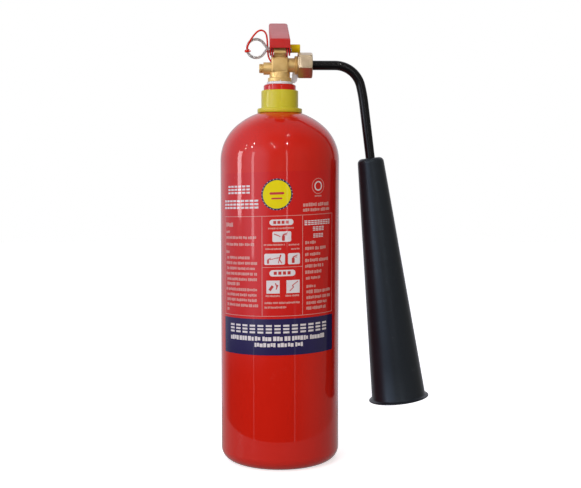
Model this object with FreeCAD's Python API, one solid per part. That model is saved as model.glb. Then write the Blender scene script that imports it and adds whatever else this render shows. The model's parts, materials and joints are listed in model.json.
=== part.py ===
import FreeCAD, Part
import math
import os

# A 3 kg carbon dioxide fire extinguisher, in millimetres.
# +Z is up and z = 0 is the floor under the foot ring.  The cylinder's axis is the Z axis.
# +X points towards the discharge horn, -Y towards the label, +Y towards the two grips.

Vector = FreeCAD.Vector
ALONG_X = Vector(1, 0, 0)
ALONG_Y = Vector(0, 1, 0)
ALONG_Z = Vector(0, 0, 1)
ORIGIN = Vector(0, 0, 0)

# Cylinder
cylinder_radius = 66.5
wall = 4.0
foot_corner = 14.0
foot_ring_inner = 49.0
dish_rise = 12.0
shoulder_z = 337.0
dome_rise = 57.5
knuckle_radius = 52.0
neck_radius = 18.0
neck_top = 422.0
neck_bore = 12.6
neck_edge = 2.0

# Label film round the front of the cylinder
label_half_angle = 67.0
label_bottom = 127.6
label_top = 325.1
label_gap = 0.02
label_thickness = 0.12

# Neck collar
collar_bottom = 390.6
collar_flange_top = 395.4
collar_top = 415.5
collar_flange_radius = 25.0
collar_radius = 20.65
collar_bore = 18.1

# Valve
shank_radius = 12.5
shank_bottom = 398.0
flange_bottom = 425.0
flange_top = 429.5
flange_radius = 13.25
round_top = 435.4
round_radius = 11.5
block_half = 9.1
block_depth = 10.5
block_top = 451.5
crown_half = 6.6
crown_top = 456.0
crown_back = 11.0
chamber_radius = 6.0
seat_z = 440.2
seat_radius = 3.0
outlet_chamber_z = 441.6
outlet_chamber_radius = 3.4
gland_shoulder_z = 448.4
gland_bore = 4.0
relief_z = 440.0
relief_radius = 6.9
relief_end = -18.2
relief_bore = 4.0
relief_port_z = 438.6
outlet_z = 443.7
outlet_neck_radius = 7.85
outlet_neck_end = 16.5
outlet_thread_radius = 10.35
outlet_thread_depth = 0.75
outlet_thread_pitch = 1.8
outlet_end = 27.9
outlet_bore = 2.0

# Lug, pivot and grips
lug_front = -17.5
lug_back = -6.2
lug_bottom = 455.0
lug_top = 462.5
pivot_y = -12.8
pivot_z = 458.6
pivot_radius = 2.0
pin_fit = 0.05
sheet = 1.5
lever_half = 11.25
lever_front = -22.0
lever_lip_bottom = 460.3
lever_lip_top = 470.3
lever_back = 90.0
lever_slope = math.radians(16.5)
lever_skirt = 9.5
handle_half = 8.75
handle_bottom = 451.6
handle_top = 463.0
handle_back = 88.0
handle_floor_front = 11.2
rivet_y = 8.3
rivet_z = 454.6
rivet_radius = 1.5

# Stem
rod_radius = 2.4
rod_tip_radius = 1.8
rod_head_radius = 3.2
rod_dome = 5.0
rod_gap = 0.35
poppet_bottom = 430.0
poppet_top = 439.2
spring_bottom = 407.1

# Safety pin, its pull ring and its end cap
pin_y = 12.0
pin_z = 463.7
wire = 0.75
wire_pitch = 0.78
pin_tip = 20.5
ring_x = -26.4
ring_arc = 10.3
ring_corner_arc = 1.3
ring_spread = 37.0
leg_start = -15.0
pin_hole = 1.7
cap_start = 12.2
cap_end = 23.2
cap_radius = 4.75

# Seal thread: it is knotted to the ring, arches over it and goes down behind the valve
thread_radius = 1.0
thread_route = [
    (-36.8, 10.2, 462.7),
    (-36.0, 9.8, 467.0),
    (-33.0, 9.7, 472.3),
    (-28.8, 10.2, 478.3),
    (-24.7, 10.7, 482.7),
    (-20.6, 11.1, 484.2),
    (-16.9, 11.6, 482.8),
    (-14.6, 12.3, 479.3),
    (-13.8, 13.2, 473.6),
    (-13.4, 14.4, 467.0),
    (-13.2, 15.6, 460.4),
    (-12.4, 16.4, 454.6),
    (-9.8, 16.2, 449.8),
    (-5.4, 15.4, 446.3),
    (0.8, 14.6, 445.0),
    (7.0, 14.8, 446.6),
]

# Discharge tube and horn
nut_start = 20.0
nut_end = 36.3
nut_flats = 26.0
nut_tilt = -13.3
nut_end_wall = 3.1
tube_radius = 5.25
tube_bore = 3.6
tube_start = 29.1
ferrule_radius = 7.6
ferrule_end = 33.0
bend_start_x = 62.0
bend_radius = 29.5
bend_turn = 76.0
sweep_radius = 170.0
horn_tilt = 7.1
horn_top_z = 340.5
horn_length = 276.0
horn_top_radius = 14.5
horn_mouth_radius = 30.6
horn_rim_radius = 34.0
horn_wall = 2.5
horn_cap = 12.0


def save(name, shape):
    shape.exportStep("parts/" + name + ".step")


def line(start, end):
    return Part.LineSegment(start, end).toShape()


def arc(start, middle, end):
    return Part.Arc(start, middle, end).toShape()


def at(radius, height):
    return Vector(radius, 0, height)


def about(centre, radius, degrees):
    """The point on a circle in the XZ plane, its angle counted up from +X."""
    angle = math.radians(degrees)
    return centre + Vector(radius * math.cos(angle), 0, radius * math.sin(angle))


def arc_about(centre, radius, first, last):
    middle = (first + last) / 2
    return arc(about(centre, radius, first), about(centre, radius, middle), about(centre, radius, last))


def turned(edges, centre=ORIGIN, axis=ALONG_Z):
    return Part.Face(Part.Wire(edges)).revolve(centre, axis, 360)


def turned_outline(points):
    """A solid turned about Z from (radius, height) corners."""
    corners = [at(radius, height) for radius, height in points]
    return turned(Part.makePolygon(corners + corners[:1]).Edges)


def turned_on_x(points, height):
    """A solid turned about the level line at this height, from (x, radius) corners."""
    corners = [Vector(x, 0, height + radius) for x, radius in points]
    return turned(Part.makePolygon(corners + corners[:1]).Edges, Vector(0, 0, height), ALONG_X)


def upright(radius, bottom, top, x=0, y=0):
    return Part.makeCylinder(radius, top - bottom, Vector(x, y, bottom), ALONG_Z)


def crossbar(radius, start, end, y, z):
    return Part.makeCylinder(radius, end - start, Vector(start, y, z), ALONG_X)


def block(half_x, y_low, y_high, z_low, z_high):
    return Part.makeBox(2 * half_x, y_high - y_low, z_high - z_low, Vector(-half_x, y_low, z_low))


def plate(outline, half_x):
    """A prism across X from a (y, z) outline."""
    corners = [Vector(-half_x, y, z) for y, z in outline]
    face = Part.Face(Part.makePolygon(corners + corners[:1]))
    return face.extrude(Vector(2 * half_x, 0, 0))


def hexagon(flats, start, length, centre, axis_x, turn):
    """A hexagonal prism along X, or along Z when axis_x is false."""
    corner = flats / math.sqrt(3)
    corners = []
    for side in range(7):
        angle = math.radians(turn + 60 * side)
        across = corner * math.cos(angle)
        up = corner * math.sin(angle)
        if axis_x:
            corners.append(centre + Vector(start, across, up))
        else:
            corners.append(centre + Vector(across, up, start))
    face = Part.Face(Part.makePolygon(corners))
    return face.extrude((ALONG_X if axis_x else ALONG_Z) * length)


def rounded(shape, radius, wanted):
    """The shape with every edge that passes the test rounded."""
    edges = [edge for edge in shape.Edges if wanted(edge)]
    return shape.makeFillet(radius, edges)


def crown_fit(inset):
    """Radii, centres and joint angle of the dome's two arcs, for the outside or inset from it."""
    side = cylinder_radius - knuckle_radius
    drop = dome_rise - knuckle_radius
    lift = (side ** 2 - drop ** 2) / (2 * drop)
    crown_centre = at(0, shoulder_z - lift)
    knuckle_centre = at(side, shoulder_z)
    joint = math.degrees(math.atan2(lift, side))
    return knuckle_centre, knuckle_radius - inset, crown_centre, dome_rise + lift - inset, joint


def dome_z(radius, inset=0.0):
    crown_centre, crown_radius = crown_fit(inset)[2:4]
    return crown_centre.z + math.sqrt(crown_radius ** 2 - radius ** 2)


def dome_edges(inset, end_radius):
    """The knuckle and crown arcs from the wall up to the given radius at the neck."""
    knuckle_centre, knuckle, crown_centre, crown, joint = crown_fit(inset)
    end_angle = math.degrees(math.acos(end_radius / crown))
    return [arc_about(knuckle_centre, knuckle, 0, joint), arc_about(crown_centre, crown, joint, end_angle)]


def cylinder_shell():
    foot_x = cylinder_radius - foot_corner
    foot_centre = at(foot_x, foot_corner)
    dish_radius = (foot_ring_inner ** 2 + dish_rise ** 2) / (2 * dish_rise)
    dish_centre = at(0, dish_rise - dish_radius)
    dish_edge = math.degrees(math.acos(foot_ring_inner / dish_radius))
    inner_dish = dish_radius + wall
    inner_edge = math.degrees(math.asin((wall - dish_centre.z) / inner_dish))
    inner_edge_point = about(dish_centre, inner_dish, inner_edge)
    inside = cylinder_radius - wall
    mouth = neck_bore + neck_edge
    edges = [
        arc_about(dish_centre, dish_radius, 90, dish_edge),
        line(at(foot_ring_inner, 0), at(foot_x, 0)),
        arc_about(foot_centre, foot_corner, -90, 0),
        line(at(cylinder_radius, foot_corner), at(cylinder_radius, shoulder_z)),
    ]
    edges += dome_edges(0, neck_radius)
    edges += [
        line(at(neck_radius, dome_z(neck_radius)), at(neck_radius, neck_top - neck_edge)),
        arc_about(at(neck_radius - neck_edge, neck_top - neck_edge), neck_edge, 0, 90),
        line(at(neck_radius - neck_edge, neck_top), at(mouth, neck_top)),
        line(at(mouth, neck_top), at(neck_bore, neck_top - neck_edge)),
        line(at(neck_bore, neck_top - neck_edge), at(neck_bore, dome_z(neck_bore, wall))),
    ]
    edges += dome_edges(wall, neck_bore)[::-1]
    edges += [
        line(at(inside, shoulder_z), at(inside, foot_corner)),
        arc_about(foot_centre, foot_corner - wall, 0, -90),
        line(at(foot_x, wall), inner_edge_point),
        arc_about(dish_centre, inner_dish, inner_edge, 90),
        line(at(0, dish_rise + wall), at(0, dish_rise)),
    ]
    return turned(Part.sortEdges(edges)[0])


def label():
    inner = cylinder_radius + label_gap
    outer = inner + label_thickness
    height = label_top - label_bottom
    film = Part.makeCylinder(outer, height, at(0, label_bottom), ALONG_Z, 2 * label_half_angle)
    film = film.cut(Part.makeCylinder(inner, height, at(0, label_bottom), ALONG_Z, 360))
    film.rotate(ORIGIN, ALONG_Z, -90 - label_half_angle)
    return film


def neck_collar():
    seat = 0.15
    return turned_outline([
        (collar_bore, dome_z(neck_radius) + seat),
        (collar_flange_radius, collar_bottom),
        (collar_flange_radius, collar_flange_top - 0.8),
        (collar_flange_radius - 0.8, collar_flange_top),
        (collar_radius + 0.8, collar_flange_top),
        (collar_radius, collar_flange_top + 0.8),
        (collar_radius, collar_top - 1.0),
        (collar_radius - 1.0, collar_top),
        (collar_bore, collar_top),
    ])


def thread_tape():
    return turned_outline([
        (shank_radius + 0.05, neck_top + 0.05),
        (14.6, neck_top + 0.05),
        (14.3, flange_bottom - 0.05),
        (shank_radius + 0.05, flange_bottom - 0.05),
    ])


def outlet_thread():
    """The outlet's male thread, drawn as level ridges."""
    root = outlet_thread_radius - outlet_thread_depth
    points = [(outlet_neck_end, 0), (outlet_neck_end, root)]
    turns = int((outlet_end - outlet_neck_end) / outlet_thread_pitch)
    for turn in range(turns):
        start = outlet_neck_end + turn * outlet_thread_pitch
        points.append((start + 0.3 * outlet_thread_pitch, outlet_thread_radius))
        points.append((start + 0.6 * outlet_thread_pitch, outlet_thread_radius))
        points.append((start + outlet_thread_pitch, root))
    points += [(outlet_end, root), (outlet_end, 0)]
    return turned_on_x(points, outlet_z)


def valve_lug():
    outline = [
        (lug_front, lug_bottom),
        (lug_back, lug_bottom),
        (lug_back, lug_top),
        (lug_front + 4.0, lug_top),
        (lug_front, lug_bottom + 2.7),
    ]
    return plate(outline, crown_half)


def valve_panel():
    """The raised, blank T-shaped panel on the front of the valve block."""
    face = -block_depth
    wide = block(7.9, face - 1.0, face + 1.0, round_top + 1.4, block_top - 2.2)
    narrow = block(5.4, face - 1.0, face + 1.0, block_top - 2.4, block_top)
    return wide.fuse(narrow)


def valve_body():
    flange = upright(flange_radius, flange_bottom, flange_top)
    flange = rounded(flange, 0.6, lambda edge: len(edge.Vertexes) == 1)
    cube = block(block_half, -block_depth, block_depth, round_top, block_top)
    cube = rounded(cube, 1.2, lambda edge: abs(edge.tangentAt(edge.FirstParameter).z) > 0.9)
    pieces = [
        flange,
        upright(round_radius, flange_top, round_top),
        cube,
        valve_panel(),
        block(crown_half, -block_depth + 1.0, crown_back, block_top, crown_top),
        valve_lug(),
        crossbar(relief_radius, relief_end, 0, 0, relief_z),
        crossbar(outlet_neck_radius, 0, outlet_neck_end, 0, outlet_z),
        outlet_thread(),
    ]
    body = upright(shank_radius, shank_bottom, flange_bottom)
    for piece in pieces:
        body = body.fuse(piece)
    holes = [
        upright(chamber_radius, shank_bottom, seat_z),
        upright(seat_radius, seat_z, outlet_chamber_z),
        upright(outlet_chamber_radius, outlet_chamber_z, gland_shoulder_z),
        upright(gland_bore, gland_shoulder_z, crown_top),
        crossbar(relief_bore, relief_end, -11.0, 0, relief_z),
        crossbar(1.2, -11.0, 0, 0, relief_port_z),
        crossbar(outlet_bore, 0, outlet_end, 0, outlet_z),
        crossbar(4.0, outlet_end - 6.0, outlet_end, 0, outlet_z),
        crossbar(pivot_radius + pin_fit, -crown_half, crown_half, pivot_y, pivot_z),
        crossbar(rivet_radius + pin_fit, -crown_half, crown_half, rivet_y, rivet_z),
    ]
    for hole in holes:
        body = body.cut(hole)
    return body.removeSplitter()


def gland_nut():
    start = crown_top + 0.05
    end = start + 5.0
    head = hexagon(10.0, start, end - start, ORIGIN, False, 30)
    trim = turned_outline([
        (0, start),
        (5.8, start),
        (5.8, end - 0.7),
        (5.0, end),
        (0, end),
    ])
    nut = head.common(trim).fuse(upright(gland_bore - 0.05, 450.1, start))
    return nut.cut(upright(rod_radius + pin_fit, 450.0, end + 1.0))


def stem_oring():
    ring = Part.makeTorus(3.2, 0.74)
    ring.translate(at(0, gland_shoulder_z + 0.8))
    return ring


def spring_retainer():
    return turned_outline([
        (2.5, 384.0),
        (4.4, 384.0),
        (4.4, 395.6),
        (8.2, 395.6),
        (8.2, shank_bottom - 0.05),
        (chamber_radius - 0.05, shank_bottom - 0.05),
        (chamber_radius - 0.05, spring_bottom - 0.1),
        (2.5, spring_bottom - 0.1),
    ])


def dip_tube():
    """The siphon tube, its foot cut at a slant so that it can't seal against the dished base."""
    foot = 22.0
    outer = 6.0
    tube = upright(outer, foot, 395.5).cut(upright(4.45, foot, 395.5))
    slant = plate([(-outer, foot), (outer, foot), (outer, foot + 8.0)], outer + 1)
    return tube.cut(slant)


def valve_spring():
    coil_radius = 4.3
    coil_wire = 0.6
    turns = 6
    height = poppet_bottom - 0.1 - spring_bottom - 2 * coil_wire
    path = Part.makeHelix(height / turns, height, coil_radius)
    section = Part.Wire(Part.makeCircle(coil_wire, Vector(coil_radius, 0, 0), ALONG_Y))
    coil = Part.Wire(path).makePipeShell([section], True, True)
    coil.translate(at(0, spring_bottom + coil_wire))
    return coil


def poppet():
    guide = chamber_radius - 0.1
    body = turned_outline([
        (0, poppet_bottom - 3.0),
        (3.2, poppet_bottom - 3.0),
        (3.2, poppet_bottom),
        (guide, poppet_bottom),
        (guide, poppet_bottom + 2.5),
        (5.2, poppet_bottom + 3.3),
        (5.2, poppet_top),
        (4.25, poppet_top),
        (4.25, poppet_top - 1.0),
        (0, poppet_top - 1.0),
    ])
    for flute in range(3):
        angle = math.radians(120 * flute + 60)
        x = guide * math.cos(angle)
        y = guide * math.sin(angle)
        body = body.cut(upright(1.4, poppet_bottom - 1, poppet_bottom + 3.4, x, y))
    return body


def poppet_seal():
    return upright(4.2, poppet_top - 0.98, seat_z - 0.05)


def lever_underside_z():
    """Height of the lever plate's underside over the stem."""
    top = lever_lip_top - lever_front * math.tan(lever_slope)
    return top - sheet / math.cos(lever_slope)


def push_rod():
    top = lever_underside_z() + rod_dome - (rod_dome + rod_gap) / math.cos(lever_slope)
    head_bottom = top - 4.2
    tip_top = 444.6
    rod = upright(rod_radius, tip_top, head_bottom)
    rod = rod.fuse(upright(rod_tip_radius, seat_z, tip_top))
    dome = Part.makeSphere(rod_dome, at(0, top - rod_dome))
    head = upright(rod_head_radius, head_bottom, top).common(dome)
    return rod.fuse(head).removeSplitter()


def relief_cap():
    start = relief_end - 0.1
    end = -23.0
    cap = turned_on_x([
        (end, 0),
        (end, 4.5),
        (end + 0.6, 5.1),
        (start, 5.1),
        (start, relief_bore - 0.05),
        (-12.6, relief_bore - 0.05),
        (-12.6, 2.2),
        (-21.6, 2.2),
        (-21.6, 0),
    ], relief_z)
    for turn in range(4):
        vent = Part.makeCylinder(0.9, 7, Vector(-20.6, 0, relief_z), ALONG_Z)
        vent.rotate(Vector(0, 0, relief_z), ALONG_X, 45 + 90 * turn)
        cap = cap.cut(vent)
    return cap


def burst_disc():
    return crossbar(3.9, -12.55, -12.3, 0, relief_z)


def relief_gasket():
    return crossbar(3.9, -12.28, -11.05, 0, relief_z).cut(crossbar(2.2, -12.3, -11.0, 0, relief_z))


def outlet_gasket():
    start = outlet_end + 0.05
    return crossbar(7.4, start, start + 0.9, 0, outlet_z).cut(crossbar(4.0, start, start + 0.9, 0, outlet_z))


def union_nut():
    nut = hexagon(nut_flats, nut_start, nut_end - nut_start, at(0, outlet_z), True, nut_tilt + 30)
    corner = nut_flats / math.sqrt(3) + 0.1
    edge = nut_flats / 2 + 0.2
    chamfer = 1.1
    trim = turned_on_x([
        (nut_start, 0),
        (nut_start, edge),
        (nut_start + chamfer, corner),
        (nut_end - chamfer, corner),
        (nut_end, edge),
        (nut_end, 0),
    ], outlet_z)
    nut = nut.common(trim)
    nut = nut.cut(crossbar(outlet_thread_radius + 0.05, nut_start, nut_end - nut_end_wall, 0, outlet_z))
    return nut.cut(crossbar(tube_radius + 0.08, nut_start, nut_end, 0, outlet_z))


def lever_top_z(y):
    return lever_lip_top + (y - lever_front) * math.tan(lever_slope)


def pin_slot(half_x):
    """The lever's pin holes, run out upwards so that the grip can travel past the pin."""
    travel_y = -1.56
    travel_z = 5.05
    reach = math.hypot(travel_y, travel_z)
    across = Vector(0, travel_z / reach, -travel_y / reach) * (pin_hole + 0.35)
    bottom = Vector(-half_x, pin_y, pin_z)
    top = bottom + Vector(0, travel_y, travel_z)
    corners = [bottom - across, bottom + across, top + across, top - across, bottom - across]
    slot = Part.Face(Part.makePolygon(corners)).extrude(ALONG_X * 2 * half_x)
    for end in (bottom, top):
        slot = slot.fuse(Part.makeCylinder(pin_hole + 0.35, 2 * half_x, end, ALONG_X))
    return slot


def squeeze_lever():
    """The upper grip: a pressed channel, open below, with a lip at its front."""
    skirt_front = 34.0
    outline = [
        (lever_front, lever_lip_bottom),
        (lever_front, lever_lip_top),
        (lever_back, lever_top_z(lever_back)),
        (lever_back, lever_top_z(lever_back) - lever_skirt),
        (skirt_front, lever_top_z(skirt_front) - lever_skirt),
        (18.0, pin_z + 1.0),
        (15.0, pin_z - 4.4),
        (6.0, pin_z - 4.9),
        (-7.5, 454.0),
        (-10.4, 452.9),
        (-15.0, 452.9),
        (-18.3, 455.2),
    ]
    outer = plate(outline, lever_half)
    outer = rounded(outer, 2.0, is_lever_top).common(grip_plan(lever_half, lever_back, 5.0))
    drop = sheet / math.cos(lever_slope)
    back = lever_back + 20
    hollow = plate([
        (lever_front + sheet, 400),
        (lever_front + sheet, lever_top_z(lever_front + sheet) - drop),
        (back, lever_top_z(back) - drop),
        (back, 400),
    ], lever_half - sheet)
    front_gap = plate([
        (lever_front - 1, 400),
        (lever_front - 1, lever_lip_bottom),
        (0, lever_lip_bottom),
        (0, 400),
    ], lever_half - sheet)
    lever = outer.cut(hollow).cut(front_gap).cut(pin_slot(lever_half + 1))
    return lever.cut(crossbar(pivot_radius + pin_fit, -20, 20, pivot_y, pivot_z))


def is_lever_top(edge):
    """True for the plate's two long edges and its front edge."""
    centre = edge.CenterOfMass
    on_top = abs(centre.z - lever_top_z(centre.y)) < 0.01
    return on_top and centre.y < lever_back - 1


def is_back_corner(edge):
    along = abs(edge.tangentAt(edge.FirstParameter).z) > 0.9
    return along and edge.CenterOfMass.y > 0


def grip_plan(half_x, back, corner):
    """A tall prism with a grip's plan shape, its two rear corners rounded."""
    return rounded(block(half_x, -40, back, 400, 560), corner, is_back_corner)


def carry_handle():
    """The lower grip: a pressed channel, open above, whose two ears hold the valve's crown."""
    outline = [
        (-15.6, handle_bottom),
        (-17.8, 454.5),
        (-17.8, 460.6),
        (-15.4, 463.3),
        (6.0, 467.2),
        (16.0, 467.6),
        (24.0, handle_top),
        (handle_back - 4.0, handle_top),
        (handle_back, handle_top - 3.0),
        (handle_back, handle_bottom),
    ]
    outer = plate(outline, handle_half)
    outer = rounded(outer, 2.0, is_handle_bottom).common(grip_plan(handle_half, handle_back, 4.0))
    inside = handle_half - sheet
    handle = outer.cut(block(inside, -30, handle_floor_front, 440, 480))
    handle = handle.cut(block(inside, handle_floor_front - 1, 120, handle_bottom + sheet, 480))
    handle = handle.cut(crossbar(pivot_radius + pin_fit, -20, 20, pivot_y, pivot_z))
    handle = handle.cut(crossbar(rivet_radius + pin_fit, -20, 20, rivet_y, rivet_z))
    return handle.cut(crossbar(pin_hole, -20, 20, pin_y, pin_z))


def is_handle_bottom(edge):
    centre = edge.CenterOfMass
    along = abs(edge.tangentAt(edge.FirstParameter).y) > 0.9
    return along and abs(centre.z - handle_bottom) < 0.01


def headed_pin(radius, grip, head_radius, head_height, y, z):
    """A pin with a low head at each end, its grip length centred on the valve."""
    pin = crossbar(radius, -grip / 2, grip / 2, y, z)
    for start in (-grip / 2 - head_height, grip / 2):
        pin = pin.fuse(crossbar(head_radius, start, start + head_height, y, z))
    return pin


def handle_rivet():
    return headed_pin(rivet_radius, 2 * handle_half + 0.1, 2.5, 0.5, rivet_y, rivet_z)


def pivot_pin():
    """The lever's pivot, headed at the left and grooved for its clip at the right."""
    head_start = -lever_half - 0.3
    pin = crossbar(pivot_radius, head_start, lever_half + 1.5, pivot_y, pivot_z)
    head = crossbar(3.0, head_start - 1.0, head_start, pivot_y, pivot_z)
    head = rounded(head, 0.4, lambda edge: edge.CenterOfMass.x < head_start - 0.9)
    groove = crossbar(3.0, lever_half + 0.35, lever_half + 0.95, pivot_y, pivot_z)
    groove = groove.cut(crossbar(1.5, -20, 20, pivot_y, pivot_z))
    return pin.fuse(head).cut(groove)


def pivot_clip():
    start = lever_half + 0.4
    clip = crossbar(3.2, start, start + 0.5, pivot_y, pivot_z).cut(crossbar(1.55, 0, 20, pivot_y, pivot_z))
    mouth = Part.makeBox(2, 2.2, 4, Vector(start - 0.5, pivot_y - 1.1, pivot_z - 4))
    return clip.cut(mouth)


def ring_loop(offset):
    """One turn of the pull ring: a wide arc and two straights that meet at a rounded corner."""
    centre = Vector(ring_x, pin_y, pin_z)
    wide = ring_arc + offset
    corner = ring_corner_arc + offset
    reach = (ring_arc - ring_corner_arc) / math.cos(math.radians(ring_spread))
    corner_centre = centre + Vector(reach, 0, 0)
    edges = [
        arc_about(centre, wide, ring_spread, 360 - ring_spread),
        arc_about(corner_centre, corner, -ring_spread, ring_spread),
    ]
    for side in (ring_spread, -ring_spread):
        edges.append(line(about(centre, wide, side), about(corner_centre, corner, side)))
    return swept(Part.Wire(Part.sortEdges(edges)[0]), wire)


def safety_pin():
    """A pull pin bent from one wire: two turns of ring, then two legs side by side."""
    pin = ring_loop(wire_pitch).fuse(ring_loop(-wire_pitch))
    for side in (1, -1):
        leg = crossbar(wire, leg_start, pin_tip, pin_y, pin_z + side * wire_pitch)
        pin = pin.fuse(leg)
    return pin.removeSplitter()


def pin_cap():
    cap = crossbar(cap_radius, cap_start, cap_end, pin_y, pin_z)
    cap = rounded(cap, 0.5, lambda edge: len(edge.Vertexes) == 1)
    return cap.cut(crossbar(2 * wire_pitch + 0.06, cap_start - 1, pin_tip + 0.4, pin_y, pin_z))


def bend_path(points):
    """Straight runs joined by the largest arcs that the runs allow, and the arcs' radii."""
    corners = [Vector(*place) for place in points]
    edges = []
    radii = []
    here = corners[0]
    for before, corner, after in zip(corners, corners[1:], corners[2:]):
        back = (before - corner).normalize()
        ahead = (after - corner).normalize()
        shorter = min(before.distanceToPoint(corner), after.distanceToPoint(corner))
        reach = 0.45 * shorter
        half_turn = (math.pi - back.getAngle(ahead)) / 2
        radius = reach / math.tan(half_turn)
        radii.append(radius)
        start = corner + back * reach
        end = corner + ahead * reach
        bisector = (back + ahead).normalize()
        centre = corner + bisector * (radius / math.cos(half_turn))
        middle = centre - bisector * radius
        edges.append(line(here, start))
        edges.append(arc(start, middle, end))
        here = end
    edges.append(line(here, corners[-1]))
    return Part.Wire(edges), radii


def swept(path, radius):
    first = path.Edges[0]
    start = first.valueAt(first.FirstParameter)
    along = first.tangentAt(first.FirstParameter)
    section = Part.Wire(Part.makeCircle(radius, start, along))
    return path.makePipeShell([section], True, True)


def seal_thread():
    path, radii = bend_path(thread_route)
    thread = swept(path, thread_radius)
    print("seal thread bend radii", [round(radius, 1) for radius in radii])
    print("seal thread length", round(path.Length, 1))
    expected = math.pi * thread_radius ** 2 * path.Length
    print("seal thread volume", round(thread.Volume, 2), "section by length", round(expected, 2))
    return thread


def ring_knot():
    """The knot round both of the ring's wires, with the thread's short trimmed end."""
    angle = 196.0
    half_length = 1.2
    inner = ring_arc - 2.4
    sleeve = Part.makeBox(5.0, 4.3, 2 * half_length, Vector(inner, pin_y - 2.6, -half_length))
    slot_corner = Vector(inner + 0.75, pin_y - 0.85, -2 * half_length)
    slot = Part.makeBox(3.3, 1.7, 4 * half_length, slot_corner)
    knot = sleeve.cut(slot)
    knot.rotate(ORIGIN, ALONG_Y, -angle)
    knot.translate(at(ring_x, pin_z))
    trimmed = Part.makeCylinder(0.8, 4.4, Vector(-36.6, pin_y - 1.7, 460.3), Vector(4, -0.2, 0.3))
    return knot.fuse(trimmed)


def tail_knot():
    return Part.makeSphere(1.7, Vector(*thread_route[-1]) + Vector(1.66, 0.05, 0.45))


def tube_path():
    """The discharge tube's line, from the union nut to its end inside the horn."""
    turned_down = math.radians(bend_turn)
    last_turn = math.radians(90 - horn_tilt - bend_turn)
    bend_centre = at(bend_start_x, outlet_z - bend_radius)
    bend_end = about(bend_centre, bend_radius, 90 - bend_turn)
    inward = Vector(-math.sin(turned_down), 0, -math.cos(turned_down))
    sweep_centre = bend_end + inward * sweep_radius
    sweep_end = about(sweep_centre, sweep_radius, horn_tilt)
    middle = about(sweep_centre, sweep_radius, horn_tilt + math.degrees(last_turn) / 2)
    return bend_centre, bend_end, middle, sweep_end


def horn_axis():
    tilt = math.radians(horn_tilt)
    direction = Vector(math.sin(tilt), 0, -math.cos(tilt))
    sweep_end = tube_path()[3]
    top = sweep_end + direction * ((sweep_end.z - horn_top_z) / math.cos(tilt))
    return top, direction


def discharge_tube():
    bend_centre, bend_end, middle, sweep_end = tube_path()
    top, direction = horn_axis()
    end = top + direction * 26.0
    path = Part.Wire([
        line(Vector(tube_start, 0, outlet_z), Vector(bend_start_x, 0, outlet_z)),
        arc_about(bend_centre, bend_radius, 90, 90 - bend_turn),
        arc(bend_end, middle, sweep_end),
        line(sweep_end, end),
    ])
    return swept(path, tube_radius).cut(swept(path, tube_bore))


def tube_ferrule():
    outer = crossbar(ferrule_radius, tube_start, ferrule_end, 0, outlet_z)
    return outer.cut(crossbar(tube_radius, tube_start, ferrule_end, 0, outlet_z))


def on_horn(shape):
    """Moves a piece drawn about -Z from the origin on to the horn's axis."""
    top, direction = horn_axis()
    shape.rotate(ORIGIN, ALONG_Y, -horn_tilt)
    shape.translate(top)
    return shape


def horn_radius(depth):
    return horn_top_radius + (horn_mouth_radius - horn_top_radius) * depth / horn_length


def horn_shell():
    crown = 5.5
    rim = 2.2
    mouth = horn_length
    flare = mouth - 3.4
    crown_centre = at(horn_radius(crown) - crown, -crown)
    hole = tube_radius + 0.05
    inner_top = horn_radius(horn_cap) - horn_wall
    edges = [
        line(at(hole, 0), at(crown_centre.x, 0)),
        arc_about(crown_centre, crown, 90, 0),
        line(at(horn_radius(crown), -crown), at(horn_radius(flare), -flare)),
        line(at(horn_radius(flare), -flare), at(horn_rim_radius - 0.6, -(mouth - rim))),
        arc(
            at(horn_rim_radius - 0.6, -(mouth - rim)),
            at(horn_rim_radius, -(mouth - rim / 2)),
            at(horn_rim_radius - 0.6, -mouth),
        ),
        line(at(horn_rim_radius - 0.6, -mouth), at(horn_radius(mouth) - horn_wall, -mouth)),
        line(at(horn_radius(mouth) - horn_wall, -mouth), at(inner_top, -horn_cap)),
        line(at(inner_top, -horn_cap), at(hole, -horn_cap)),
        line(at(hole, -horn_cap), at(hole, 0)),
    ]
    return on_horn(turned(edges))


def horn_washer():
    ring = upright(10.5, -horn_cap - 1.6, -horn_cap - 0.05)
    return on_horn(ring.cut(upright(tube_radius + 0.05, -horn_cap - 2, -horn_cap)))


def horn_locknut():
    top = -horn_cap - 1.65
    nut = hexagon(18.0, top - 6.0, 6.0, ORIGIN, False, 0)
    return on_horn(nut.cut(upright(tube_radius + 0.05, top - 7, top + 1)))


def nozzle_tip():
    top = -horn_cap - 7.7
    bottom = -40.0
    tip = turned_outline([
        (tube_radius + 0.05, top),
        (8.0, top),
        (8.0, bottom + 3.0),
        (6.0, bottom),
        (1.4, bottom),
        (1.4, -26.1),
        (tube_radius + 0.05, -26.1),
    ])
    return on_horn(tip)


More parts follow.
